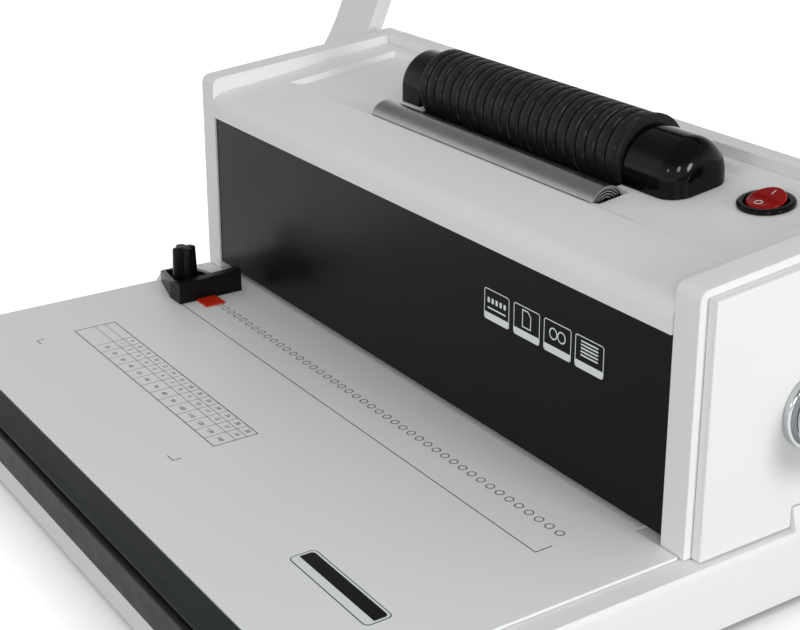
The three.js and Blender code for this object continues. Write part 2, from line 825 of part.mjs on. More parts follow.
function topCover() {
  const outer = prism(coverSection(0, 0), -insideHalf, insideHalf, 'x').subtract(deckPocket(0, deckDepth));
  const inner = prism(coverSection(coverWall, overrun), -insideHalf + coverWall, insideHalf - coverWall, 'x')
    .subtract(deckPocket(coverWall, deckDepth + coverWall));
  const low = coverFrontRise;
  const high = coverBackHeight + overrun;
  const coilSlot = block([slotLeft, slotRight], [coilSlotFront, coilSlotBack], [low, high]);
  const rollerSlot = block([rollerLeft - gap * 2, domeLeft - gap],
    [coilSlotBack - overrun, rollerSlotBack], [low, high]);
  const gearHalf = gearRadius + gearModule + gearHoleMargin;
  const gearHole = block([gearHoleLeft, gearHoleRight],
    [rollerY - gearHalf, rollerY + gearHalf], [low, high]);
  const switchHole = tilted(rod(0, 0, switchCanRadius + gap, -switchCanDepth, overrun, 'z', roundSides));
  const holes = [inner, coilSlot, rollerSlot, gearHole, switchHole];
  return holes.reduce((cover, hole) => cover.subtract(hole), outer);
}

// Moves a shape drawn about the switch's own axis to its place on the sloping deck.
function tilted(shape) {
  const { vertProperties, triVerts } = shape.getMesh();
  const geometry = new THREE.BufferGeometry();
  geometry.setAttribute('position', new THREE.BufferAttribute(vertProperties, 3));
  geometry.setIndex(new THREE.BufferAttribute(triVerts, 1));
  geometry.rotateX(deckTilt);
  geometry.translate(switchX, switchY, deckHeight(switchY));
  return solid(geometry);
}

function rearCover() {
  const front = housingBack - rearRimWidth;
  const section = points([
    [front, rearRimHeight - rearRimLip], [front + rearWall, rearRimHeight - rearRimLip],
    [front + rearWall, rearRimHeight - rearWall], [housingBack - rearWall, rearRimHeight - rearWall],
    [housingBack - rearWall, sidePanelFoot], [housingBack, sidePanelFoot],
    [housingBack, rearRimHeight], [front, rearRimHeight],
  ]);
  let cover = prism(section, -insideHalf, insideHalf, 'x');
  for (let i = 0; i < ventCount; i += 1) {
    const x = ventCentre + (i - (ventCount - 1) * halfShare) * ventPitch;
    cover = cover.subtract(block([x - ventWidth * halfShare, x + ventWidth * halfShare],
      [housingBack - rearWall - overrun, housingBack + overrun], [ventLow, ventLow + ventHeight]));
  }
  const halfX = inletWidth * halfShare + gap;
  const halfZ = inletHeight * halfShare + gap;
  return cover.subtract(block([inletX - halfX, inletX + halfX],
    [housingBack - rearWall - overrun, housingBack + overrun], [inletZ - halfZ, inletZ + halfZ]));
}

// Side panel: its top edge climbs towards the back and stands above the top cover
function sidePanel(side) {
  const topAt = (y) => sidePanelFrontHeight
    + (y - sidePanelFront) * sidePanelClimb / (housingBack - sidePanelFront);
  const corners = [
    [sidePanelFront, sidePanelFoot, 0], [housingBack, sidePanelFoot, 0],
    [housingBack, sidePanelBackHeight, sidePanelCorner * halfShare],
    [sidePanelFront, sidePanelFrontHeight, sidePanelCorner],
  ];
  const pocketFront = sidePanelFront + sidePanelWall;
  const pocketBack = housingBack - sidePanelWall;
  const pocket = points([
    [pocketFront, sidePanelFoot + sidePanelWall], [pocketBack, sidePanelFoot + sidePanelWall],
    [pocketBack, topAt(pocketBack) - sidePanelTopBand], [pocketFront, topAt(pocketFront) - sidePanelTopBand],
  ]);
  return prism(rounded(corners), side * housingHalf, side * sideOuter, 'x')
    .subtract(prism(pocket, side * (housingHalf - overrun), side * (sideOuter - sidePanelSkin), 'x'))
    .subtract(rod(pivotY, pivotZ, hubBore,
      side * (housingHalf - overrun), side * (sideOuter + overrun), 'x'));
}

// Raised cover on the side panel, stepped up over the boss of the base
function sideCover(side) {
  const front = sidePanelFront + sideCoverInset;
  const back = housingBack - sideCoverInset;
  const topFront = sidePanelFrontHeight - sideCoverTopInset;
  const topBack = sidePanelBackHeight - sideCoverTopInset - sideCoverInset * halfShare;
  const corners = [
    [front, sideCoverFoot, 0], [bossFront, sideCoverFoot, 0], [bossFront, bossHeight + gap, 0],
    [back, bossHeight + gap, 0], [back, topBack, 0], [front, topFront, 0],
  ];
  const inner = side * (sideOuter + gap);
  const layers = [
    [inner, 0], [side * (coverOuter - sideCoverEdge), 0],
    [side * (coverOuter - sideCoverEdge * quarterShare), sideCoverEdge * quarterShare],
    [side * coverOuter, sideCoverEdge],
  ];
  return mouldedCorners(corners, layers, 'x')
    .subtract(rod(pivotY, pivotZ, hubBore,
      side * (sideOuter - overrun), side * (coverOuter + overrun), 'x'));
}

function hubRing(side) {
  const inner = coverOuter + gap;
  const outer = inner + hubThickness;
  return turned([
    [side * inner, hubBore], [side * inner, hubRadius], [side * (outer - hubRound), hubRadius],
    [side * outer, hubRadius - hubRound], [side * outer, hubBore], [side * inner, hubBore],
  ], pivotY, pivotZ, fineSides);
}

// Steel frame plate that carries the die, the guide plate and the handle's bush
function framePlate(side) {
  const corners = [
    [frameFront, baseTop + gap, 0], [frameBack, baseTop + gap, 0],
    [frameBack, railTop + frameCorner, frameCorner * halfShare],
    [pivotY + frameCorner * 2, frameHeight, frameCorner],
    [pivotY - frameCorner * 2, frameHeight, frameCorner],
    [frameFront, guidePlateTop + frameCorner, frameCorner * halfShare],
  ];
  const inner = side * frameInner;
  const outer = side * frameOuter;
  const cutFrom = side * (frameInner - overrun);
  const cutTo = side * (frameOuter + overrun);
  return prism(rounded(corners), inner, outer, 'x')
    .subtract(rod(pivotY, pivotZ, shaftRadius + bushWall + gap * 2, cutFrom, cutTo, 'x'))
    .subtract(rod(frameBack - frameHole - baseWall, railLow - frameHole - gap * 2,
      frameHole * halfShare, cutFrom, cutTo, 'x'));
}

function shaftBush(side) {
  const from = frameInner - bushFlangeThickness - gap;
  const seat = frameInner - gap;
  const to = frameOuter + gap;
  const bore = shaftRadius + runningGap;
  const wall = shaftRadius + runningGap + bushWall - gap;
  return turned([
    [side * from, bore], [side * from, wall + bushFlange], [side * seat, wall + bushFlange],
    [side * seat, wall], [side * to, wall], [side * to, bore], [side * from, bore],
  ], pivotY, pivotZ, roundSides);
}

const holeX = (i) => holeRowCentre + (i - (holeCount - 1) * halfShare) * holePitch;

// A bar pierced by the whole row of punch holes
function piercedBar(y, z) {
  const holes = Array.from({ length: holeCount }, (_, i) =>
    rod(holeX(i), punchLine, holeRadius, z[0] - overrun, z[1] + overrun, 'z', pinSides));
  return block([-frameSpan, frameSpan], y, z).subtract(wasm.Manifold.union(holes));
}

function paperStop() {
  return block([-frameSpan, frameSpan], [punchLine + paperStopSetback, dieBack - gap],
    [dieTop + gap, guidePlateBottom - gap]);
}

// Pressure bar: all the punch pins stand under its front edge and two pads meet the cams
function punchBar() {
  let bar = block([-frameSpan + gap, frameSpan - gap], [barFront, barBack], [barBottom, barTop]);
  for (let i = 0; i < holeCount; i += 1) {
    bar = bar.add(rod(holeX(i), punchLine, pinRadius, pinFoot, barBottom + overrun, 'z', pinSides));
  }
  for (const side of [-1, 1]) {
    bar = bar
      .add(block([side * camX - padLength * halfShare, side * camX + padLength * halfShare],
        [pivotY - padWidth * halfShare, pivotY + padWidth * halfShare], [barTop - overrun, padTop]))
      .subtract(rod(side * rodX, rodY, rodRadius + runningGap,
        barBottom - overrun, barTop + overrun, 'z', smallSides));
  }
  return bar;
}

const guideRod = (side) =>
  rod(side * rodX, rodY, rodRadius, baseTop + gap, barTop + rodAbove, 'z', smallSides);

// Return spring: one unbroken wire wound round the guide rod
function returnSpring(side) {
  const low = baseTop + gap + springWireRadius;
  const high = barBottom - gap - springWireRadius;
  const steps = springTurns * springSteps;
  const centre = (i) => {
    const angle = i / springSteps * fullTurn;
    return new THREE.Vector3(
      side * rodX + springRadius * Math.cos(angle),
      rodY + springRadius * Math.sin(angle),
      low + (high - low) * i / steps);
  };
  const rings = Array.from({ length: steps + 1 }, (_, i) => {
    const angle = i / springSteps * fullTurn;
    const outward = new THREE.Vector3(Math.cos(angle), Math.sin(angle), 0);
    return Array.from({ length: springSides }, (_unused, k) => {
      const turn = k / springSides * fullTurn;
      return centre(i).addScaledVector(outward, springWireRadius * Math.cos(turn))
        .addScaledVector(zAxis, springWireRadius * Math.sin(turn));
    });
  });
  let least = Infinity;
  for (let i = 0; i + springSteps <= steps; i += 1) {
    const from = centre(i);
    for (let j = i + springSteps * halfShare; j <= steps; j += 1) {
      least = Math.min(least, from.distanceTo(centre(j)));
    }
  }
  console.log(`return spring: least gap between turns ${(least - springWireRadius * 2).toFixed(2)} mm`);
  return loft(rings);
}

function handleShaft() {
  const end = armOuter - gap;
  return rod(pivotY, pivotZ, shaftRadius, -end, end, 'x');
}

// Cam for a flat follower: its reach grows evenly, so the pressure bar goes down in step with the handle
function cam(side) {
  const rise = Array.from({ length: camSteps + 1 }, (_, i) => {
    const turn = handleTravel * i / camSteps;
    const reach = camRadius + camRise * turn;
    return new THREE.Vector2(
      pivotY - reach * Math.sin(turn) - camRise * Math.cos(turn),
      pivotZ - reach * Math.cos(turn) + camRise * Math.sin(turn));
  });
  const heel = arc(pivotY, pivotZ, camRadius, quarterTurn, -quarterTurn, camSteps);
  const from = side * camX - camThickness * halfShare;
  const to = side * camX + camThickness * halfShare;
  return prism([...rise, ...heel], from, to, 'x')
    .subtract(rod(pivotY, pivotZ, shaftRadius + gap, from - overrun, to + overrun, 'x'));
}

// The arm's middle line: a bend from the pivot to the rim of the housing, then straight on to the tip.
// Each place is [point, direction, half depth].
function armLine() {
  const pivot = new THREE.Vector2(pivotY, pivotZ);
  const straight = armTip.clone().sub(armMid).normalize();
  const chord = armMid.clone().sub(pivot);
  const chordLean = Math.atan2(chord.x, chord.y);
  const startLean = chordLean * 2 - Math.atan2(straight.x, straight.y);
  const start = new THREE.Vector2(Math.sin(startLean), Math.cos(startLean));
  const reach = chord.length() * halfShare / Math.cos(chordLean - startLean);
  const bend = new THREE.QuadraticBezierCurve(pivot, pivot.clone().addScaledVector(start, reach), armMid);
  const places = Array.from({ length: armSteps + 1 }, (_, i) => {
    const share = i / armSteps;
    return [bend.getPoint(share), bend.getTangent(share), armFootHalf + (armMidHalf - armFootHalf) * share];
  });
  return [...places, [armTip, straight, armTipHalf]];
}

// Arm of the handle: a broad, shallow, bent moulding with a round eye at each end and a boss to the hub
function arm(side) {
  const inner = side * armInner;
  const outer = side * armOuter;
  const layers = [
    [inner, armEdge * halfShare], [inner + side * armEdge * halfShare, 0],
    [outer - side * armEdge, 0], [outer, armEdge],
  ];
  const edge = (sign, inset) => armLine().map(([point, heading, half]) => new THREE.Vector2(
    point.x + sign * heading.y * (half - inset), point.y - sign * heading.x * (half - inset)));
  const eye = (point, radius) =>
    moulded((inset) => circle(point.x, point.y, radius - inset, fineSides), layers, 'x');
  const cutTo = side * (armOuter + overrun);
  return moulded((inset) => [...edge(1, inset), ...edge(-1, inset).reverse()], layers, 'x')
    .add(eye(new THREE.Vector2(pivotY, pivotZ), armFootRadius))
    .add(eye(armTip, armTipRadius))
    .add(rod(pivotY, pivotZ, armBossRadius, side * armBossInner, inner + side * armEdge, 'x', fineSides))
    .subtract(rod(pivotY, pivotZ, shaftRadius + gap, side * (armBossInner - overrun), cutTo, 'x'))
    .subtract(rod(armTip.x, armTip.y, crossbarRadius + gap, side * (armInner - overrun), cutTo, 'x'));
}

function armCap(side) {
  const from = armOuter + gap;
  const to = from + armCapThickness;
  const round = armCapThickness * halfShare;
  return turned([
    [side * from, 0], [side * from, armCapRadius], [side * (to - round), armCapRadius],
    [side * to, armCapRadius - round], [side * to, 0],
  ], pivotY, pivotZ, roundSides);
}

function crossbar() {
  const end = armOuter - armEdge;
  return rod(armTip.x, armTip.y, crossbarRadius, -end, end, 'x');
}

function handleGrip() {
  const end = gripLength * halfShare;
  const bore = crossbarRadius + gap;
  const ease = gripRound * edgeShare;
  return turned([
    [-end, bore], [-end, gripRadius - gripRound], [-end + ease, gripRadius - ease],
    [-end + gripRound, gripRadius], [end - gripRound, gripRadius], [end - ease, gripRadius - ease],
    [end, gripRadius - gripRound], [end, bore], [-end, bore],
  ], armTip.x, armTip.y, fineSides);
}

// Coil trough: a bright half-round strip that stands in the front of the roller's slot
function coilTrough() {
  const outer = arc(troughY, troughZ, troughRadius, Math.PI, 0, troughSteps);
  const inner = arc(troughY, troughZ, troughRadius - troughWall, 0, Math.PI, troughSteps);
  const foot = (y) => new THREE.Vector2(y, troughFoot);
  const section = [
    foot(troughY - troughRadius), ...outer, foot(troughY + troughRadius),
    foot(troughY + troughRadius - troughWall), ...inner, foot(troughY - troughRadius + troughWall),
  ];
  return prism(section, troughLeft, troughRight, 'x');
}

// Arched section that stands on the sloping deck, shared by both ends of the roller
function archOutline(inset, foot = gap) {
  const half = archRadius - inset;
  return [
    new THREE.Vector2(rollerY - half, deckHeight(rollerY - half) + foot),
    new THREE.Vector2(rollerY + half, deckHeight(rollerY + half) + foot),
    ...arc(rollerY, archZ, half, 0, Math.PI, archSteps),
  ];
}

function bearingHousing() {
  const right = rollerLeft - gap * 2;
  const left = right - bearingLength;
  const layers = [
    [left, bearingRound], [left + bearingRound * edgeShare, bearingRound * edgeShare],
    [left + bearingRound, 0], [right, 0],
  ];
  return moulded((inset) => archOutline(inset), layers, 'x')
    .subtract(rod(rollerY, rollerZ, rollerShaftRadius + runningGap,
      rollerLeft - rollerShaftLeft - gap, right + overrun, 'x', smallSides));
}

function domeShape(wall, foot) {
  const layers = [[domeLeft - (wall ? overrun : 0), wall], [domeRight - domeRound, wall]];
  for (let i = 1; i <= domeSteps; i += 1) {
    const turn = i / domeSteps * quarterTurn * domeTurnShare;
    layers.push([
      domeRight - domeRound + (domeRound - wall) * Math.sin(turn),
      wall + (domeRound - wall) * (1 - Math.cos(turn)),
    ]);
  }
  return moulded((inset) => archOutline(inset, foot), layers, 'x');
}

// Rounded housing over the roller's gear: a thin shell open below and towards the roller
const domeHousing = () => domeShape(0, gap).subtract(domeShape(domeWall, -overrun));

function bearingBlock() {
  const from = domeLeft + gap;
  const low = (y) => deckHeight(y) + gap;
  const front = rollerY - bearingBlockHalf;
  const back = rollerY + bearingBlockHalf;
  const crown = rollerZ + bearingBlockAbove - bearingBlockHalf;
  const section = [
    new THREE.Vector2(front, low(front)), new THREE.Vector2(back, low(back)),
    ...arc(rollerY, crown, bearingBlockHalf, 0, Math.PI, cornerSteps * 2),
  ];
  return prism(section, from, from + bearingBlockThickness, 'x')
    .subtract(rod(rollerY, rollerZ, rollerShaftRadius + runningGap, from - overrun,
      from + bearingBlockThickness + overrun, 'x', smallSides));
}

const coreRadius = rollerRadius - sleeveWall;

function rollerCore() {
  const shaftEnd = rollerRight + rollerShaftRight;
  return turned([
    [rollerLeft - rollerShaftLeft, 0], [rollerLeft - rollerShaftLeft, rollerShaftRadius],
    [rollerLeft, rollerShaftRadius], [rollerLeft, coreRadius], [rollerRight, coreRadius],
    [rollerRight, rollerShaftRadius], [shaftEnd, rollerShaftRadius], [shaftEnd, 0],
  ], rollerY, rollerZ, roundSides);
}

// Rubber sleeve: a row of square-shouldered ribs with a groove between each two
function rollerSleeve() {
  const pitch = rollerLength / ribCount;
  const bore = coreRadius + gap;
  const profile = [[rollerLeft, bore], [rollerLeft, rollerRadius - ribDepth]];
  for (let i = 0; i < ribCount; i += 1) {
    const start = rollerLeft + pitch * i;
    const end = start + pitch;
    profile.push([start + ribGroove, rollerRadius], [end - ribGroove, rollerRadius],
      [end, rollerRadius - ribDepth]);
  }
  profile.push([rollerRight, bore], [rollerLeft, bore]);
  return turned(profile, rollerY, rollerZ, roundSides);
}

function endRing() {
  const from = rollerRight + gap;
  const to = from + endRingThickness;
  const bore = rollerShaftRadius + gap;
  return turned([
    [from, bore], [from, endRingRadius - ribBevel], [from + ribBevel, endRingRadius], [to, endRingRadius],
    [to, bore], [from, bore],
  ], rollerY, rollerZ, fineSides);
}

// Gear outline in (y, z): straight flanks, thinner than the pitch by the lash
function gearOutline(teeth, z, phase) {
  const pitchRadius = gearModule * teeth * halfShare;
  const tip = pitchRadius + gearModule;
  const root = pitchRadius - gearModule * gearRootShare;
  const half = (fullTurn * pitchRadius / teeth * halfShare - gearLash) * halfShare;
  const atTip = (half - gearModule * pressureTangent) / pitchRadius;
  const atRoot = (half + gearModule * pressureTangent) / pitchRadius;
  const at = (radius, angle) =>
    new THREE.Vector2(rollerY + radius * Math.cos(angle), z + radius * Math.sin(angle));
  return Array.from({ length: teeth }, (_, i) => {
    const angle = phase + i / teeth * fullTurn;
    return [[root, -atRoot], [tip, -atTip], [tip, atTip], [root, atRoot]]
      .map(([radius, turn]) => at(radius, angle + turn));
  }).flat();
}

function gear(teeth, z, phase, bore) {
  const wheel = prism(gearOutline(teeth, z, phase), gearLeft, gearRight, 'x');
  if (!bore) return wheel;
  return wheel.subtract(rod(rollerY, z, bore, gearLeft - overrun, gearRight + overrun, 'x', smallSides));
}

const toothPhase = quarterTurn;
const gapPhase = quarterTurn + Math.PI / gearTeeth;

function motorPinion() {
  const from = gearPlateLeft - gearboxLength * halfShare;
  const shaft = rod(rollerY, pinionZ, pinionShaftRadius, from, gearRight, 'x', smallSides);
  return gear(pinionTeeth, pinionZ, toothPhase, 0).add(shaft);
}

// Upright plate that holds the gear motor and the idler gear's pin
function gearPlate() {
  const corners = [
    [gearPlateLegFront, railTop + gap, 0], [gearPlateBack, railTop + gap, 0],
    [gearPlateBack, gearPlateTop, 0], [gearPlateFront, gearPlateTop - gearPlateThickness, 0],
    [gearPlateFront, gearPlateLegTop, 0], [gearPlateLegFront, gearPlateLegTop - gearPlateThickness, 0],
  ];
  return prism(rounded(corners), gearPlateLeft, gearPlateRight, 'x')
    .subtract(rod(rollerY, pinionZ, pinionRadius,
      gearPlateLeft - overrun, gearPlateRight + overrun, 'x', smallSides))
    .add(rod(rollerY, idlerZ, idlerPinRadius, gearPlateLeft, gearRight + gap, 'x', smallSides));
}

function gearMotor() {
  const front = gearPlateLeft - gap;
  const step = front - gearboxLength;
  const back = step - motorLength;
  const bore = pinionShaftRadius + runningGap;
  const blind = front - gearboxLength * halfShare - gap;
  return turned([
    [back - motorTailLength, 0], [back - motorTailLength, motorTailRadius], [back, motorTailRadius],
    [back, motorRadius], [step, motorRadius], [step, gearboxRadius], [front, gearboxRadius], [front, bore],
    [blind, bore], [blind, 0],
  ], rollerY, pinionZ, roundSides);
}

// Folded cross rail between the frame plates, carrying the gear plate and the supply board
function crossRail() {
  const section = points([
    [railFront, railLow], [railFront + railSheet, railLow], [railFront + railSheet, railTop - railSheet],
    [railBack - railSheet, railTop - railSheet], [railBack - railSheet, railLow],
    [railBack, railLow], [railBack, railTop], [railFront, railTop],
  ]);
  return prism(section, -frameSpan, frameSpan, 'x');
}

function supplyBoard() {
  const low = railTop + gap;
  let board = block([boardLeft, boardLeft + boardLength], [boardY, boardY + boardThickness],
    [low, low + boardHeight]);
  for (let i = 0; i < boardParts; i += 1) {
    const left = boardLeft + boardLength * (i + quarterShare) / boardParts;
    const width = boardLength * boardPartShare;
    const partLow = low + boardHeight * boardPartShare * (1 + i % 2);
    board = board.add(block([left, left + width], [boardY - boardPartDepth, boardY + boardPartOverlap],
      [partLow, partLow + boardHeight * halfShare]));
  }
  return board;
}

// Switch body: a round bezel on the deck over a can that hangs through it, open at the mouth
function switchBody() {
  const low = gap;
  const rim = bezelHeight + gap;
  return tilted(turnedUpright([
    [0, -switchCanDepth], [switchCanRadius, -switchCanDepth], [switchCanRadius, low], [bezelRadius, low],
    [bezelRadius, rim - bezelRound], [bezelRadius - bezelRound, rim], [switchMouthRadius, rim],
    [switchMouthRadius, rim - switchMouthDepth], [0, rim - switchMouthDepth],
  ], 0, 0, fineSides));
}

// Rocker: two faces that meet at a shallow valley, tipped to the off side, over a narrow skirt
function switchRocker() {
  const rim = bezelHeight + gap;
  const crown = (u) => rockerPeak * (u / rockerHalf) ** 2 * halfShare + rockerThickness * halfShare;
  const steps = Array.from({ length: foldSteps + 1 }, (_, i) => -rockerHalf + i / foldSteps * rockerHalf * 2);
  const profile = [
    new THREE.Vector2(-rockerHalf, 0), new THREE.Vector2(-rockerHalf * halfShare, -rockerSkirt),
    new THREE.Vector2(rockerHalf * halfShare, -rockerSkirt), new THREE.Vector2(rockerHalf, 0),
    ...steps.reverse().map((u) => new THREE.Vector2(u, crown(u))),
  ];
  const cosTilt = Math.cos(rockerTilt);
  const sinTilt = Math.sin(rockerTilt);
  const tipped = profile.map((p) => new THREE.Vector2(
    p.x * cosTilt - p.y * sinTilt, p.x * sinTilt + p.y * cosTilt + rim));
  const across = prism(tipped, -rockerHalf, rockerHalf, 'x');
  const disc = rod(0, 0, rockerHalf, -switchMouthDepth, switchMouthDepth, 'z', roundSides);
  return tilted(across.intersect(disc));
}

// Mains inlet: flange, hollow body with a socket and three flat pins
function powerInlet() {
  const halfX = inletWidth * halfShare;
  const halfZ = inletHeight * halfShare;
  const faceFrom = housingBack + gap;
  const face = faceFrom + inletFlangeThickness;
  const rim = face - inletSocketDepth;
  let inlet = block([inletX - halfX - inletFlange, inletX + halfX + inletFlange], [faceFrom, face],
    [inletZ - halfZ - inletFlange, inletZ + halfZ + inletFlange])
    .add(block([inletX - halfX, inletX + halfX],
      [face - inletBodyDepth, face - inletFlangeThickness * halfShare], [inletZ - halfZ, inletZ + halfZ]))
    .subtract(block([inletX - halfX + inletWall, inletX + halfX - inletWall], [rim, face + overrun],
      [inletZ - halfZ + inletWall, inletZ + halfZ - inletWall]));
  for (const place of [-1, 0, 1]) {
    const x = inletX + place * inletPinPitch;
    const z = inletZ + (place ? -inletPinRise : inletPinRise);
    inlet = inlet.add(block([x - inletPinWidth * halfShare, x + inletPinWidth * halfShare],
      [rim - inletWall * halfShare, rim + inletPinLength],
      [z - inletPinHeight * halfShare, z + inletPinHeight * halfShare]));
  }
  return inlet;
}

// Edge guide: a fence along the paper's edge and a lower body with a sunk top that falls to the left
function guideBlock() {
  const left = guideFace - guideLength;
  const fenceInner = guideFace - guideFence;
  const back = guideFront + guideDepth;
  const bodyPlan = (right) => [
    [left, guideFront + guideChamferY, guideCorner], [left + guideChamferX, guideFront, guideCorner],
    [right, guideFront, 0], [right, guideFront + guideBodyDepth, 0],
    [left, guideFront + guideBodyDepth, guideCorner],
  ];
  const roof = points([
    [left, 0], [fenceInner + overrun, 0], [fenceInner + overrun, guideFrontHeight],
    [fenceInner, guideFrontHeight], [left, guideLeftHeight],
  ]);
  const body = prism(rounded(bodyPlan(fenceInner + overrun)), gap, guideFrontHeight, 'z')
    .intersect(prism(roof, guideFront, back, 'y'));
  const pocket = prism(rounded(shrunk(bodyPlan(fenceInner + guideRim), guideRim)),
    guideFloor, guideFrontHeight + overrun, 'z');
  const fence = prism(points([
    [guideFront, gap], [back, gap], [back, guideBackHeight], [guideFront, guideFrontHeight],
  ]), fenceInner, guideFace, 'x');
  const pointerBed = block([guideFace - pointerLength + pointerReach - gap, guideFace + overrun],
    [pointerFront - gap, pointerFront + pointerWidth + gap], [-overrun, gap + pointerThickness + gap]);
  return body.subtract(pocket).add(fence).subtract(pointerBed)
    .subtract(rod(knobX, knobY, studRadius + runningGap, -overrun, guideFrontHeight, 'z', smallSides));
}

function guidePointer() {
  const right = guideFace + pointerReach;
  return block([right - pointerLength, right], [pointerFront, pointerFront + pointerWidth],
    [gap, gap + pointerThickness]);
}

// Clamp knob: a tapering grip with four lobes on a stud that goes down through the table
function guideKnob() {
  const top = knobSeat + knobHeight;
  const ease = knobRound * edgeShare;
  const outline = (half) => {
    const steps = knobLobes * knobLobeSteps;
    return Array.from({ length: steps }, (_, i) => {
      const angle = i / steps * fullTurn;
      const swell = Math.cos(angle * knobLobes) * halfShare + halfShare;
      const radius = half * (1 - knobWaistShare * (1 - swell) ** 2);
      return new THREE.Vector2(knobX + radius * Math.cos(angle), knobY + radius * Math.sin(angle));
    });
  };
  const layers = [
    [knobSeat, knobFootHalf], [top - knobRound, knobTopHalf], [top - ease, knobTopHalf - ease],
    [top, knobTopHalf - knobRound],
  ];
  const grip = loft(layers.map(([z, half]) => ringAt(outline(half), z, 'z')));
  const studFoot = tableSeat - gap - nutThickness;
  return grip.add(rod(knobX, knobY, studRadius, studFoot, knobSeat + knobRound, 'z', smallSides));
}

// Square clamp nut under the table, held by the guide so that it can't turn
function guideNut() {
  const low = tableSeat - nutThickness;
  return block([knobX - nutHalf, knobX + nutHalf], [knobY - nutHalf, knobY + nutHalf], [low, tableSeat])
    .subtract(rod(knobX, knobY, studRadius + runningGap,
      low - overrun, tableSeat + overrun, 'z', smallSides));
}

function foot(x, y) {
  return turnedUpright([
    [0, baseBottom - footHeight], [footRadius - footTaper, baseBottom - footHeight],
    [footRadius, baseBottom - gap], [0, baseBottom - gap],
  ], x, y, roundSides);
}

const footX = baseHalf - footInsetX;

// Base and table
addPiece('base_shell', baseShell(), whitePlastic);
addPiece('bottom_plate', bottomPlate(), zincPlate);
for (const side of [-1, 1]) {
  addPiece(`foot_front_${sideName(side)}`, foot(side * footX, baseFront + footInsetY), footRubber);
  addPiece(`foot_rear_${sideName(side)}`, foot(side * footX, baseBack - footInsetY), footRubber);
}
addPiece('table_plate', tablePlate(), greyTable);
addPiece('front_trim', frontTrim(), blackPlastic);
addPiece('chip_tray', chipTray(), blackPlastic);

// Housing
addPiece('front_panel', frontPanel(), blackPanel);
addPiece('top_cover', topCover(), whitePlastic);
addPiece('rear_cover', rearCover(), whitePlastic);
for (const side of [-1, 1]) {
  addPiece(`side_panel_${sideName(side)}`, sidePanel(side), whitePlastic);
  addPiece(`side_cover_${sideName(side)}`, sideCover(side), whitePlastic);
  addPiece(`hub_ring_${sideName(side)}`, hubRing(side), chrome);
}

// Punch
for (const side of [-1, 1]) {
  addPiece(`frame_plate_${sideName(side)}`, framePlate(side), zincPlate);
  addPiece(`shaft_bush_${sideName(side)}`, shaftBush(side), bronze);
  addPiece(`guide_rod_${sideName(side)}`, guideRod(side), steel);
  addPiece(`return_spring_${sideName(side)}`, returnSpring(side), steel);
}
addPiece('die_bar', piercedBar([dieFront, dieBack], [dieTop - dieThickness, dieTop]), steel);
addPiece('pin_guide_bar', piercedBar([guidePlateFront, dieBack], [guidePlateBottom, guidePlateTop]), steel);
addPiece('paper_stop', paperStop(), steel);
addPiece('punch_bar', punchBar(), steel);

// Handle
addPiece('handle_shaft', handleShaft(), steel);
for (const side of [-1, 1]) {
  addPiece(`cam_${sideName(side)}`, cam(side), steel);
  addPiece(`arm_${sideName(side)}`, arm(side), whitePlastic);
  addPiece(`arm_cap_${sideName(side)}`, armCap(side), chrome);
}
addPiece('crossbar', crossbar(), steel);
addPiece('handle_grip', handleGrip(), blackRubber);

// Coil inserter
addPiece('coil_trough', coilTrough(), polishedSteel);
addPiece('bearing_housing', bearingHousing(), glossBlack);
addPiece('dome_housing', domeHousing(), glossBlack);
addPiece('bearing_block', bearingBlock(), steel);
addPiece('roller_core', rollerCore(), steel);
addPiece('roller_sleeve', rollerSleeve(), blackRubber);
addPiece('roller_end_ring', endRing(), blackPlastic);
addPiece('roller_gear', gear(gearTeeth, rollerZ, toothPhase, rollerShaftRadius + gap), gearPlastic);
addPiece('idler_gear', gear(gearTeeth, idlerZ, gapPhase, idlerPinRadius + runningGap), gearPlastic);
addPiece('motor_pinion', motorPinion(), steel);
addPiece('gear_motor', gearMotor(), steel);
addPiece('gear_plate', gearPlate(), zincPlate);
addPiece('cross_rail', crossRail(), zincPlate);
addPiece('supply_board', supplyBoard(), boardGreen);

// Switch, inlet and paper guide
addPiece('switch_body', switchBody(), blackPlastic);
addPiece('switch_rocker', switchRocker(), redPlastic);
addPiece('power_inlet', powerInlet(), blackPlastic);
addPiece('guide_block', guideBlock(), blackPlastic);
addPiece('guide_pointer', guidePointer(), orangePlastic);
addPiece('guide_knob', guideKnob(), blackPlastic);
addPiece('guide_nut', guideNut(), zincPlate);

// The origin goes on the floor under the middle of the whole box.
const bounds = new THREE.Box3().setFromObject(machine);
const middle = bounds.getCenter(new THREE.Vector3());
machine.position.set(-middle.x, -middle.y, -bounds.min.z);

export default machine;
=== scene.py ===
"""Coil binding machine: finishes, prints and fine round forms set around its measured frame."""

import json
import math

import bmesh
import bpy
from bpy.props import FloatProperty, FloatVectorProperty, IntProperty, PointerProperty
from mathutils import Matrix, Vector

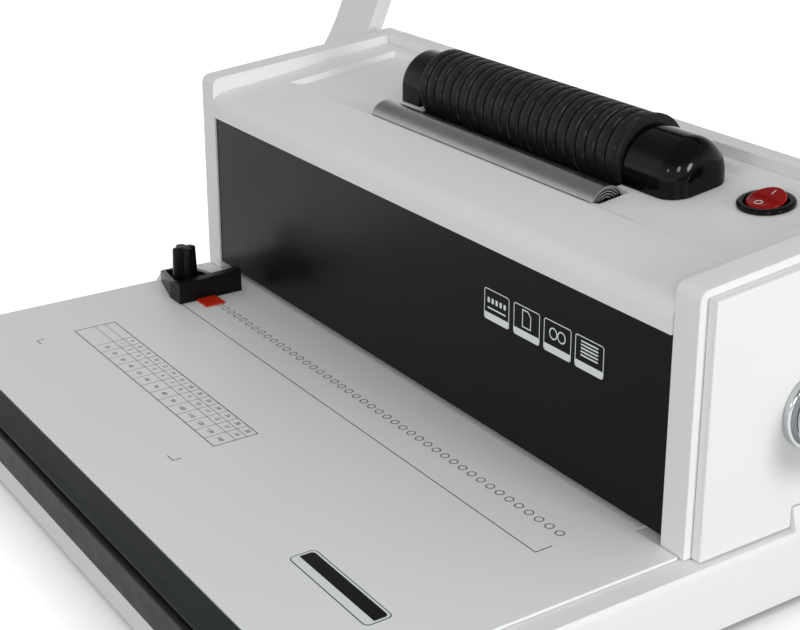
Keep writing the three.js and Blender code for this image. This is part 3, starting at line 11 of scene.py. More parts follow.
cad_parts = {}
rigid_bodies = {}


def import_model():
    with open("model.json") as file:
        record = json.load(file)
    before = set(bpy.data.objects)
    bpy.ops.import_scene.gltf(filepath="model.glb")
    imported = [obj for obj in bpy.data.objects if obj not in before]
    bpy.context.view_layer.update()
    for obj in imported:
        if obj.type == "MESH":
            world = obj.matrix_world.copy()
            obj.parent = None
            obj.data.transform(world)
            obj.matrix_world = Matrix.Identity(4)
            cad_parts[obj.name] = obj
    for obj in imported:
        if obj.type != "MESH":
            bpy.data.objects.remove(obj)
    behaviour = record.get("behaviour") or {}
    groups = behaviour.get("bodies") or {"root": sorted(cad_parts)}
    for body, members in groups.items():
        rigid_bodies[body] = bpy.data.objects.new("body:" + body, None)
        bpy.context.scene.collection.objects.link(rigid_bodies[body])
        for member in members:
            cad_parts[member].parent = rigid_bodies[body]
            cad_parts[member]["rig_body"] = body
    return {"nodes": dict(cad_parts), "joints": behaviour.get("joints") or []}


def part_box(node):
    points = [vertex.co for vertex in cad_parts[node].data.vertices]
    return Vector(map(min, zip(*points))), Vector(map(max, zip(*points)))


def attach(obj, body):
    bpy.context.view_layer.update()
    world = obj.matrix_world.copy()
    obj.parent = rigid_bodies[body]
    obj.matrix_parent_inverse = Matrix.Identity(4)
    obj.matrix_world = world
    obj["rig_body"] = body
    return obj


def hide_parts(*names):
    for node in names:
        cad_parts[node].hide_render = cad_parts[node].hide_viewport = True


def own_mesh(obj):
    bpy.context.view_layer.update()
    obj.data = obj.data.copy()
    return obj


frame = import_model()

bl_info = {
    "name": "Coil Binding Machine",
    "version": (1, 0, 0),
    "blender": (4, 5, 0),
    "location": "View3D > Sidebar > Binder",
    "description": "Finishes, prints and fine round forms of a coil binding machine",
    "category": "Object",
}

MM = 0.001
FULL_TURN = math.tau
QUARTER_TURN = math.pi / 2
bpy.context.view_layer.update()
SHARP_ANGLE = math.radians(32)
FLAT_ANGLE = math.radians(0.4)
WELD_DISTANCE = 0.002 * MM
PRINT_LIFT = 0.02 * MM

X_AXIS = Vector((1, 0, 0))
Y_AXIS = Vector((0, 1, 0))
Z_AXIS = Vector((0, 0, 1))

# An outline drawn in (y, z) runs along x, one in (x, z) along y and one in (x, y) along z.
ALONG = {
    "x": (Y_AXIS, Z_AXIS, X_AXIS),
    "y": (X_AXIS, Z_AXIS, Y_AXIS),
    "z": (X_AXIS, Y_AXIS, Z_AXIS),
}


def tone(red, green, blue):
    """A colour written as the eye sees it, 0 to 255, as Blender's linear colour."""
    shares = [value / 255 for value in (red, green, blue)]
    return tuple(s / 12.92 if s <= 0.04045 else ((s + 0.055) / 1.055) ** 2.4 for s in shares)


def colour_choice(name, description, red, green, blue):
    """A colour that a user may change, with its default written as the eye sees it."""
    return FloatVectorProperty(name=name, description=description, subtype="COLOR", size=3,
                               default=tone(red, green, blue))


def measure(name, description, value, unit="LENGTH"):
    """A number that a user may change, a length in metres unless another unit is named."""
    return FloatProperty(name=name, description=description, unit=unit, default=value, precision=5)


class FinishSettings(bpy.types.PropertyGroup):
    """Colours and grain of the finishes."""

    white: colour_choice("White plastic", "Housing and base mouldings", 234, 235, 234)
    arm: colour_choice("Arm plastic", "Handle arms", 230, 232, 232)
    table: colour_choice("Table coat", "Powder coat of the table sheet", 233, 235, 235)
    panel: colour_choice("Front panel", "Black panel over the paper slot", 15, 16, 16)
    black: colour_choice("Black plastic", "Front trim and mains inlet", 40, 45, 44)
    drawer: colour_choice("Drawer black", "Chip drawer", 34, 33, 33)
    guide: colour_choice("Guide black", "Edge guide and its knob", 12, 13, 13)
    gloss: colour_choice("Gloss black", "Roller housings, switch bezel and plate", 7, 8, 9)
    rubber: colour_choice("Roller rubber", "Roller and its ring, grip and feet", 30, 32, 31)
    red: colour_choice("Switch red", "Rocker of the power switch", 142, 2, 2)
    orange: colour_choice("Pointer orange", "Pointer of the edge guide", 205, 44, 12)
    ink: colour_choice("Print ink", "Dark print on the table", 44, 46, 48)
    light_ink: colour_choice("Light ink", "Light print on dark parts", 226, 234, 232)
    grain: measure("Grain", "Size of the moulded grain", 0.45 * MM)


class EdgeSettings(bpy.types.PropertyGroup):
    """How far edges are rounded."""

    housing: measure("Housing edge", "Round on the large white mouldings", 0.7 * MM)
    small: measure("Small edge", "Round on small mouldings", 0.35 * MM)
    sheet: measure("Sheet edge", "Round on sheet metal", 0.2 * MM)


class PrintSettings(bpy.types.PropertyGroup):
    """Sizes of the prints on the table and the front panel."""

    hole_radius: measure("Hole mark", "Outer radius of each printed hole", 2.0 * MM)
    hole_line: measure("Hole line", "Width of the line of a printed hole", 0.42 * MM)
    line: measure("Line", "Width of the page line and the chart's frame", 0.42 * MM)
    fine_line: measure("Fine line", "Width of the chart's inner lines", 0.22 * MM)
    film: measure("Ink film", "Thickness of the ink", 0.03 * MM)


class RollerSettings(bpy.types.PropertyGroup):
    """Form of the ribbed roller."""

    ribs: IntProperty(name="Ribs", description="Number of ribs", default=22, min=4)
    groove: measure("Groove", "Half the width of a groove's mouth", 1.0 * MM)
    depth: measure("Depth", "Depth of a groove", 1.5 * MM)
    # Width of the lighter line beside each groove, a painted glint on the rib edge
    dust_line: measure("Glint line", "Width of the painted glint line beside a groove", 0.5 * MM)
    sides: IntProperty(name="Sides", description="Sides of the turned forms", default=96, min=24)


class StageSettings(bpy.types.PropertyGroup):
    """Camera and light."""

    camera: FloatVectorProperty(name="Camera", description="Place of the camera", subtype="XYZ",
                                unit="LENGTH", size=3, default=(0.5604, -0.3773, 0.3429))
    heading: FloatVectorProperty(name="Heading", description="Direction in which the camera looks",
                                 subtype="DIRECTION", size=3, default=(-0.783, 0.523, -0.338))
    lens: measure("Lens", "Focal length in millimetres", 71.43, "NONE")
    shift_x: measure("Shift X", "Sideways shift of the picture", -0.008, "NONE")
    shift_y: measure("Shift Y", "Upward shift of the picture", -0.092, "NONE")
    key: measure("Key light", "Power of the light at the front right", 8.5, "POWER")
    side: measure("Side light", "Power of the low light at the right", 13.0, "POWER")
    spark: measure("Spark", "Power of the small light at the front, seen in gloss", 2.4, "POWER")
    lamp: measure("Lamp size", "Width of a lamp", 0.5)
    spark_size: measure("Spark size", "Width of the small light", 0.3)
    fill: measure("Fill", "Strength of the even light all round", 0.55, "NONE")
    ceiling: measure("Ceiling", "Strength of the dim ceiling that gloss and metal show", 0.3, "NONE")
    lift: measure("Floor lift", "Strength that turns the floor white where it is seen", 0.92, "NONE")
    # The floor shade is painted: it darkens the floor's white glow near the machine
    shade: measure("Floor shade", "Reach of the shade at the machine's foot", 0.05)
    floor: colour_choice("Floor", "Colour of the floor", 176, 176, 176)


class BinderSettings(bpy.types.PropertyGroup):
    """All settings of the machine."""

    finish: PointerProperty(type=FinishSettings)
    edge: PointerProperty(type=EdgeSettings)
    print: PointerProperty(type=PrintSettings)
    roller: PointerProperty(type=RollerSettings)
    stage: PointerProperty(type=StageSettings)


def settings():
    return bpy.context.scene.binder


# Materials

# The middle range of a noise pattern, and the higher ranges that make bright specks, partly dust and partly
# painted glints, and the patches of the painted glint lines
NOISE_RANGE = (0.3, 0.7)
SPECK_RANGE = (0.68, 0.76)
GLINT_PATCH_RANGE = (0.48, 0.95)

# Dust and painted glints on rubber: their lighter colour, the painted glint line's distance from a groove's
# middle, and the colour's even share on the grip
DUST_AND_GLINT_TONE = tone(120, 122, 120)
GLINT_PLACE_SHARE = 1.15
GRIP_DUST_SHARE = 0.5

COAT_ROUGHNESS = 0.05


def new_finish(name, colour, roughness, metallic=0.0, specular=0.5, coat=0.0):
    """A Principled material with its plain values set, and the point in space that its patterns use."""
    material = bpy.data.materials.new("finish_" + name)
    material.use_nodes = True
    shader = material.node_tree.nodes["Principled BSDF"]
    values = {"Base Color": (*colour, 1), "Roughness": roughness, "Metallic": metallic,
              "Specular IOR Level": specular, "Coat Weight": coat, "Coat Roughness": COAT_ROUGHNESS}
    for socket, value in values.items():
        shader.inputs[socket].default_value = value
    place = material.node_tree.nodes.new("ShaderNodeTexCoord")
    return material, shader, place.outputs["Object"]


def add_node(tree, kind, inputs, **choices):
    """A shader node. Each input takes a plain value, or the output that feeds it."""
    node = tree.nodes.new("ShaderNode" + kind)
    for name, choice in choices.items():
        setattr(node, name, choice)
    for name, value in inputs.items():
        if isinstance(value, bpy.types.NodeSocket):
            tree.links.new(value, node.inputs[name])
        else:
            node.inputs[name].default_value = value
    return node


def noise(tree, point, size, detail=2.0, stretch=(1, 1, 1)):
    """Noise whose features are about as large as size, in metres, longer where stretch is small."""
    mapping = add_node(tree, "Mapping", {"Vector": point, "Scale": stretch})
    texture = add_node(tree, "TexNoise", {"Vector": mapping.outputs["Vector"], "Scale": 1 / size,
                                          "Detail": detail})
    return texture.outputs["Fac"]


def mottled(tree, shader, factor, colour, spread):
    """Lets the base colour wander a little, darker and lighter, with a pattern."""
    darker = [value * (1 - spread) for value in colour]
    lighter = [min(1.0, value * (1 + spread)) for value in colour]
    mix = add_node(tree, "Mix", {"Factor": factor, "A": (*darker, 1), "B": (*lighter, 1)}, data_type="RGBA")
    tree.links.new(mix.outputs["Result"], shader.inputs["Base Color"])
    return mix


def uneven_gloss(tree, shader, factor, roughness, spread):
    """Lets the roughness wander with a pattern, most of which lies in the noise's middle range."""
    low, high = NOISE_RANGE
    remap = add_node(tree, "MapRange", {
        "Value": factor, "From Min": low, "From Max": high,
        "To Min": max(0.0, roughness - spread), "To Max": min(1.0, roughness + spread)})
    tree.links.new(remap.outputs["Result"], shader.inputs["Roughness"])


def grained(tree, shader, height, strength, depth):
    """Raises a pattern as fine relief."""
    bump = add_node(tree, "Bump", {"Height": height, "Strength": strength, "Distance": depth})
    tree.links.new(bump.outputs["Normal"], shader.inputs["Normal"])


def patterned(name, colour, roughness, cloud, gloss, relief, **values):
    """A finish with noise in its colour, its gloss and its relief. Each noise has a size and a detail,
    then the spread of the colour or gloss, or the strength and depth of the relief."""
    material, shader, point = new_finish(name, colour, roughness, **values)
    tree = material.node_tree
    mottled(tree, shader, noise(tree, point, *cloud[:2]), colour, cloud[2])
    uneven_gloss(tree, shader, noise(tree, point, *gloss[:2]), roughness, gloss[2])
    grained(tree, shader, noise(tree, point, *relief[:2]), *relief[2:])
    return material


def moulded_plastic(name, colour, roughness, spread=0.015, relief=0.12, specular=0.5, grain=None):
    """Injection-moulded plastic: fine eroded grain, a slight cloudiness and uneven gloss."""
    size = grain or settings().finish.grain
    if isinstance(colour, str):
        colour = getattr(settings().finish, colour)
    return patterned(name, colour, roughness, cloud=(35 * MM, 3.0, spread), gloss=(9 * MM, 4.0, 0.05),
                     relief=(size, 2.0, relief, size * 0.3), specular=specular)


def table_coat(name):
    """Powder coat on sheet steel: a low orange-peel relief under a fine grain."""
    return patterned(name, settings().finish.table, 0.42, cloud=(60 * MM, 2.0, 0.02),
                     gloss=(3 * MM, 3.0, 0.05), relief=(0.8 * MM, 3.0, 0.1, 0.2 * MM), specular=0.4)


def black_panel(name):
    """Satin lacquer on steel, with faint specks and slow waves in its gloss."""
    return patterned(name, settings().finish.panel, 0.3, cloud=(0.9 * MM, 4.0, 0.14),
                     gloss=(40 * MM, 2.0, 0.05), relief=(1.2 * MM, 2.0, 0.05, 0.15 * MM), specular=0.11)


def gloss_black(name):
    """Polished black plastic: nearly flat, with the slow waves of a moulded skin."""
    colour = settings().finish.gloss
    material, shader, point = new_finish(name, colour, 0.07, specular=0.16)
    tree = material.node_tree
    mottled(tree, shader, noise(tree, point, 20 * MM, 2.0), colour, 0.2)
    uneven_gloss(tree, shader, noise(tree, point, 6 * MM, 4.0), 0.08, 0.03)
    grained(tree, shader, noise(tree, point, 16 * MM, 1.0), 0.15, 0.25 * MM)
    return material


def painted_rib_glints(tree, point):
    """Thin lighter lines, broken in patches, beside each groove of the roller: painted glints on the rib
    edges.
    """
    sizes = settings().roller
    low, high = axis_range("roller_sleeve", "x")
    place = add_node(tree, "SeparateXYZ", {"Vector": point})
    along = add_node(tree, "Math", {0: place.outputs["X"], 1: low}, operation="SUBTRACT")
    from_groove = add_node(tree, "Math", {0: along.outputs[0], 1: (high - low) / sizes.ribs / 2},
                           operation="PINGPONG")
    beside = add_node(tree, "Math", {0: from_groove.outputs[0], 1: sizes.groove * GLINT_PLACE_SHARE,
                                     2: sizes.dust_line / 2}, operation="COMPARE")
    low, high = GLINT_PATCH_RANGE
    patches = add_node(tree, "MapRange", {"Value": noise(tree, point, 5 * MM, 4.0), "From Min": low,
                                          "From Max": high, "To Max": beside.outputs[0]})
    return patches.outputs["Result"]


def roller_rubber(name, ribs=True):
    """Matt rubber with a pebbled skin and a few bright specks, partly dust and partly painted glints, with
    painted glint lines along the roller's ribs.
    """
    colour = settings().finish.rubber
    material, shader, point = new_finish(name, colour, 0.55, specular=0.14)
    tree = material.node_tree
    base = mottled(tree, shader, noise(tree, point, 5 * MM, 4.0), colour, 0.22)
    low, high = SPECK_RANGE
    specks = add_node(tree, "MapRange", {"Value": noise(tree, point, 0.5 * MM, 3.0), "From Min": low,
                                         "From Max": high})
    lines = painted_rib_glints(tree, point) if ribs else GRIP_DUST_SHARE
    # The lighter colour mixed in here paints glints on the specks, which are partly dust, and on lines
    # beside the roller's grooves; the grip's even share of it is dust
    either = add_node(tree, "Math", {0: specks.outputs["Result"], 1: lines}, operation="MAXIMUM")
    dust_and_glints = add_node(tree, "Mix", {"Factor": either.outputs[0], "A": base.outputs["Result"],
                                  "B": (*DUST_AND_GLINT_TONE, 1)}, data_type="RGBA")
    tree.links.new(dust_and_glints.outputs["Result"], shader.inputs["Base Color"])
    uneven_gloss(tree, shader, noise(tree, point, 2 * MM, 4.0), 0.5, 0.12)
    grained(tree, shader, noise(tree, point, 0.7 * MM, 3.0), 0.35, 0.25 * MM)
    return material


def grip_rubber(name):
    return roller_rubber(name, ribs=False)


def metal(name, colour, roughness, spread=0.08, scratch=(0.05, 1, 1), relief=0.08):
    """Worked metal: fine lines along the grain, cloudy gloss."""
    material, shader, point = new_finish(name, colour, roughness, metallic=1.0)
    tree = material.node_tree
    lines = noise(tree, point, 0.25 * MM, 3.0, stretch=scratch)
    mottled(tree, shader, lines, colour, spread)
    uneven_gloss(tree, shader, noise(tree, point, 8 * MM, 4.0), roughness, min(roughness, 0.06))
    grained(tree, shader, lines, relief, 0.03 * MM)
    return material


def red_plastic(name):
    """Clear-coated red plastic with a slight cloudiness."""
    return patterned(name, settings().finish.red, 0.16, cloud=(6 * MM, 2.0, 0.15),
                     gloss=(3 * MM, 3.0, 0.04), relief=(5 * MM, 1.0, 0.1, 0.1 * MM),
                     specular=0.2, coat=0.12)


# Moulded plastics, rubbers and inks. A colour given by name is one of the settings.
MOULDED = {
    "white_plastic": {"colour": "white", "roughness": 0.48},
    "arm_plastic": {"colour": "arm", "roughness": 0.46},
    "black_plastic": {"colour": "black", "roughness": 0.42, "spread": 0.12, "relief": 0.2, "specular": 0.18},
    "drawer_plastic": {"colour": "drawer", "roughness": 0.45, "spread": 0.12, "relief": 0.2,
                       "specular": 0.18},
    "guide_plastic": {"colour": "guide", "roughness": 0.36, "spread": 0.15, "relief": 0.2, "specular": 0.16},
    "foot_rubber": {"colour": "rubber", "roughness": 0.78, "spread": 0.2, "relief": 0.4, "grain": 0.7 * MM},
    "orange_plastic": {"colour": "orange", "roughness": 0.45, "spread": 0.05},
    "gear_plastic": {"colour": tone(232, 228, 212), "roughness": 0.45},
    "board": {"colour": tone(36, 92, 58), "roughness": 0.4, "spread": 0.18, "grain": 1.5 * MM},
    "ink": {"colour": "ink", "roughness": 0.55, "spread": 0.1, "relief": 0.05},
    "light_ink": {"colour": "light_ink", "roughness": 0.5, "spread": 0.03, "relief": 0.05},
}
METALS = {
    "steel": {"colour": tone(176, 178, 180), "roughness": 0.32},
    "polished_steel": {"colour": tone(160, 162, 162), "roughness": 0.24, "spread": 0.05, "relief": 0.06},
    "chrome": {"colour": tone(198, 201, 203), "roughness": 0.06, "spread": 0.01, "scratch": (1, 1, 1),
               "relief": 0.01},
    "bronze": {"colour": tone(178, 134, 78), "roughness": 0.38},
    "zinc_plate": {"colour": tone(186, 188, 186), "roughness": 0.42, "spread": 0.12, "scratch": (1, 1, 1)},
}
OTHER_FINISHES = {maker.__name__: maker for maker in (
    table_coat, black_panel, gloss_black, red_plastic, roller_rubber, grip_rubber)}


def finish(name):
    """The material of that name, made when it is first asked for."""
    made = bpy.data.materials.get("finish_" + name)
    if made:
        return made
    if name in MOULDED:
        return moulded_plastic(name, **MOULDED[name])
    if name in METALS:
        return metal(name, **METALS[name])
    return OTHER_FINISHES[name](name)


# Forms

def circle(u, v, radius, sides):
    return [(u + radius * math.cos(k / sides * FULL_TURN), v + radius * math.sin(k / sides * FULL_TURN))
            for k in range(sides)]


def arc(u, v, radius, start, end, steps):
    return [(u + radius * math.cos(start + (end - start) * k / steps),
             v + radius * math.sin(start + (end - start) * k / steps)) for k in range(steps + 1)]


def quarter(steps, first=0):
    """A quarter round in steps, as shares of its radius: what it has left behind and has still to go."""
    turns = [k / steps * QUARTER_TURN for k in range(first, steps + 1)]
    return [(1 - math.cos(turn), 1 - math.sin(turn)) for turn in turns]


def round_rectangle(u0, u1, v0, v1, radius, steps=6):
    """A rectangle's outline with its corners rounded."""
    return (arc(u1 - radius, v0 + radius, radius, -QUARTER_TURN, 0, steps)
            + arc(u1 - radius, v1 - radius, radius, 0, QUARTER_TURN, steps)
            + arc(u0 + radius, v1 - radius, radius, QUARTER_TURN, math.pi, steps)
            + arc(u0 + radius, v0 + radius, radius, math.pi, math.pi + QUARTER_TURN, steps))


def inset_rectangle(u0, u1, v0, v1, radius, inset):
    """The outline of a rounded rectangle, drawn in evenly."""
    return round_rectangle(u0 + inset, u1 - inset, v0 + inset, v1 - inset, radius - inset)


def placed(outline, level, axis):
    """A flat outline as points in space, at a level along an axis."""
    across, up, along = ALONG[axis]
    return [across * u + up * v + along * level for u, v in outline]


def loft(rings, closed=False, caps=True):
    """Skin over rings of equal count. Closed joins the last ring to the first."""
    count = len(rings[0])
    points = [point for ring in rings for point in ring]
    faces = []
    last = len(rings) if closed else len(rings) - 1
    for row in range(last):
        start, after = row * count, (row + 1) % len(rings) * count
        for k in range(count):
            nxt = (k + 1) % count
            faces.append((start + k, start + nxt, after + nxt, after + k))
    if caps and not closed:
        faces.append(tuple(range(count)))
        faces.append(tuple(range((len(rings) - 1) * count, len(rings) * count)))
    return points, faces


def sheet_of(rows):
    """Open surface through rows of points."""
    count = len(rows[0])
    points = [point for row in rows for point in row]
    faces = [(r * count + k, r * count + k + 1, (r + 1) * count + k + 1, (r + 1) * count + k)
             for r in range(len(rows) - 1) for k in range(count - 1)]
    return points, faces


def prism(outline, low, high, axis):
    return loft([placed(outline, low, axis), placed(outline, high, axis)])


def turned(profile, centre, axis, sides, closed=False):
    """A form turned about an axis through centre. The profile lists (place along the axis, radius)."""
    across, up, along = ALONG[axis]
    middle = Vector(centre)
    rings = []
    for level, radius in profile:
        base = middle + along * (level - middle.dot(along))
        rings.append([base + across * u + up * v for u, v in circle(0, 0, radius, sides)])
    return loft(rings, closed=closed, caps=False)


def joined(shapes):
    points, faces = [], []
    for shape_points, shape_faces in shapes:
        start = len(points)
        points.extend(shape_points)
        faces.extend(tuple(start + k for k in face) for face in shape_faces)
    return points, faces


def moved(shape, matrix):
    return [matrix @ Vector(point) for point in shape[0]], shape[1]


def add_piece(name, shape, slot, body=None, replaces=(), look=None, sharp=SHARP_ANGLE):
    """Makes one finished piece, on the body of the node that it replaces or on a named body."""
    mesh = bpy.data.meshes.new(name)
    work = bmesh.new()
    corners = [work.verts.new(point) for point in shape[0]]
    for face in shape[1]:
        work.faces.new([corners[k] for k in face])
    bmesh.ops.remove_doubles(work, verts=work.verts, dist=WELD_DISTANCE)
    bmesh.ops.recalc_face_normals(work, faces=work.faces)
    for face in work.faces:
        face.smooth = True
    work.to_mesh(mesh)
    work.free()
    mesh.set_sharp_from_angle(angle=sharp)
    mesh.materials.append(finish(look or slot))
    piece = bpy.data.objects.new(name, mesh)
    bpy.context.scene.collection.objects.link(piece)
    if body is None:
        body = frame["nodes"][replaces[0]]["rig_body"]
    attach(piece, body)
    if replaces:
        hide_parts(*replaces)
    return piece


def soft_shading():
    """Geometry nodes that shade faces smooth and keep edges over the sharp angle crisp."""
    name = "soft shading"
    group = bpy.data.node_groups.get(name)
    if group:
        return group
    group = bpy.data.node_groups.new(name, "GeometryNodeTree")
    group.interface.new_socket("Geometry", in_out="INPUT", socket_type="NodeSocketGeometry")
    group.interface.new_socket("Geometry", in_out="OUTPUT", socket_type="NodeSocketGeometry")
    source = group.nodes.new("NodeGroupInput")
    result = group.nodes.new("NodeGroupOutput")
    faces = group.nodes.new("GeometryNodeSetShadeSmooth")
    faces.domain = "FACE"
    edges = group.nodes.new("GeometryNodeSetShadeSmooth")
    edges.domain = "EDGE"
    angle = group.nodes.new("GeometryNodeInputMeshEdgeAngle")
    shallow = group.nodes.new("FunctionNodeCompare")
    shallow.data_type = "FLOAT"
    shallow.operation = "LESS_THAN"
    shallow.inputs["B"].default_value = SHARP_ANGLE
    group.links.new(source.outputs[0], faces.inputs["Geometry"])
    group.links.new(faces.outputs[0], edges.inputs["Geometry"])
    group.links.new(angle.outputs["Unsigned Angle"], shallow.inputs["A"])
    group.links.new(shallow.outputs["Result"], edges.inputs["Shade Smooth"])
    group.links.new(edges.outputs[0], result.inputs[0])
    return group


def add_modifier(piece, name, kind, **values):
    """A modifier with its values set."""
    modifier = piece.modifiers.new(name, kind)
    for key, value in values.items():
        setattr(modifier, key, value)


def dress(name, slot, edge=0.0, look=None):
    """Finishes a node as it stands: rounds its edges, shades it softly and gives it its material."""
    node = frame["nodes"][name]
    for place in node.material_slots:
        place.material = finish(look or slot)
    add_modifier(node, "weld", "WELD", merge_threshold=WELD_DISTANCE)
    add_modifier(node, "flat faces", "DECIMATE", decimate_type="DISSOLVE", angle_limit=FLAT_ANGLE)
    if edge:
        add_modifier(node, "round edges", "BEVEL", width=edge, segments=2, limit_method="ANGLE",
                     angle_limit=SHARP_ANGLE, miter_outer="MITER_ARC")
    add_modifier(node, "soft shading", "NODES", node_group=soft_shading())
    add_modifier(node, "even normals", "WEIGHTED_NORMAL", keep_sharp=True, weight=100)


def middle(name):
    low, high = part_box(name)
    return (low + high) / 2


def axis_range(name, axis):
    low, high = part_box(name)
    k = "xyz".index(axis)
    return low[k], high[k]


def disc_radius(name, axis):
    """Radius of a round node about an axis, from the wider of its two other sides."""
    low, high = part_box(name)
    size = high - low
    return max(size[k] for k in range(3) if "xyz"[k] != axis) / 2


def round_bar(name, node, axis, slot, chamfer):
    """A turned bar with chamfered ends in the place of a round node."""
    low, high = axis_range(node, axis)
    radius = disc_radius(node, axis)
    profile = [(low, 0.0), (low, radius - chamfer), (low + chamfer, radius), (high - chamfer, radius),
               (high, radius - chamfer), (high, 0.0)]
    shape = turned(profile, middle(node), axis, settings().roller.sides // 2)
    add_piece(name, shape, slot, replaces=[node])


# Slope of the deck that the roller and the switch stand on
DECK_SLOPE = 0.13
DECK_TILT = math.atan(DECK_SLOPE)


def deck_height(y):
    """Height of the deck's skin, measured from the front foot of the dome housing."""
    low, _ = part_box("dome_housing")
    return low.z + (y - low.y) * DECK_SLOPE


class BINDER_OT_housing(bpy.types.Operator):
    """Finishes the white housing, its covers and the base"""

    bl_idname = "binder.housing"
    bl_label = "Housing and base"

    def execute(self, context):
        edge = settings().edge
        for name in ("top_cover", "rear_cover", "base_shell"):
            dress(name, "white_plastic", edge.housing)
        for side in ("left", "right"):
            dress("side_panel_" + side, "white_plastic", edge.housing)
            dress("side_cover_" + side, "white_plastic", edge.small)
        dress("bottom_plate", "zinc_plate", edge.sheet)
        return {"FINISHED"}


class BINDER_OT_table(bpy.types.Operator):
    """Finishes the table, its black trim and the chip drawer"""

    bl_idname = "binder.table"
    bl_label = "Table and drawer"

    def execute(self, context):
        edge = settings().edge
        dress("table_plate", "table_coat", edge.sheet)
        dress("front_trim", "black_plastic", edge.small)
        dress("chip_tray", "black_plastic", edge.small, look="drawer_plastic")
        dress("front_panel", "black_panel", edge.sheet)
        return {"FINISHED"}


def table_top():
    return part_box("table_plate")[1].z


def flat_print(outline, film=None):
    """Print of an outline on the table."""
    low = table_top() + PRINT_LIFT
    return prism(outline, low, low + (film or settings().print.film), "z")


def printed_line(start, end, width):
    """Straight printed line between two points on the table."""
    first, second = Vector(start), Vector(end)
    along = (second - first).normalized() * width / 2
    across = Vector((-along.y, along.x))
    return flat_print([tuple(p) for p in (first - along - across, second + along - across,
                                          second + along + across, first - along + across)])


def printed_ring(x, y, radius, width, sides=28):
    low = table_top() + PRINT_LIFT
    profile = [(low, radius - width), (low, radius), (low + settings().print.film, radius),
               (low + settings().print.film, radius - width)]
    return turned(profile, (x, y, 0), "z", sides, closed=True)


def number_shape(text, height, thickness):
    """The figures of a plain number as a thin closed shape, centred on the origin."""
    curve = bpy.data.curves.new("figures", "FONT")
    curve.body = text
    curve.align_x = "CENTER"
    curve.align_y = "CENTER"
    curve.size = height
    curve.extrude = thickness / 2
    curve.resolution_u = 3
    holder = bpy.data.objects.new("figures", curve)
    bpy.context.scene.collection.objects.link(holder)
    bpy.context.view_layer.update()
    mesh = bpy.data.meshes.new_from_object(holder.evaluated_get(bpy.context.evaluated_depsgraph_get()))
    shape = [v.co.copy() for v in mesh.vertices], [tuple(p.vertices) for p in mesh.polygons]
    bpy.data.objects.remove(holder)
    bpy.data.curves.remove(curve)
    bpy.data.meshes.remove(mesh)
    return shape


# Layout of the table's print, in metres from the hole line's left end
HOLE_COUNT = 46
HOLE_PITCH = 6.35 * MM
HOLE_LINE = Vector((-134.9, -33.43)) * MM
PAGE_LINE_Y = -16.4 * MM
PAGE_LINE_START = -6 * MM
PAGE_LINE_END = 291.5 * MM
PAGE_TICK = 7.9 * MM
CHART_X = (-2 * MM, 148 * MM)
CHART_Y = (-76.5 * MM, -55.2 * MM)
CHART_ROW_SHARES = (0.0, 0.5, 0.75, 1.0)
CHART_COLUMNS = 14
CHART_LABEL_COLUMNS = 2.5
FIGURE_HEIGHT = 3.1 * MM
CORNER_MARKS = ((150 * MM, -96.5 * MM, -1), (-1 * MM, -96.5 * MM, 1))
CORNER_MARK_X = 5 * MM
CORNER_MARK_Y = 3.5 * MM
PLATE_X = (244 * MM, 298 * MM)
PLATE_Y = (-95.3 * MM, -83.5 * MM)
PLATE_CORNER = 2.4 * MM
PLATE_RIM = 0.9 * MM
PLATE_BAND_SHARE = 0.36


def on_table(x, y):
    return HOLE_LINE.x + x, HOLE_LINE.y + y


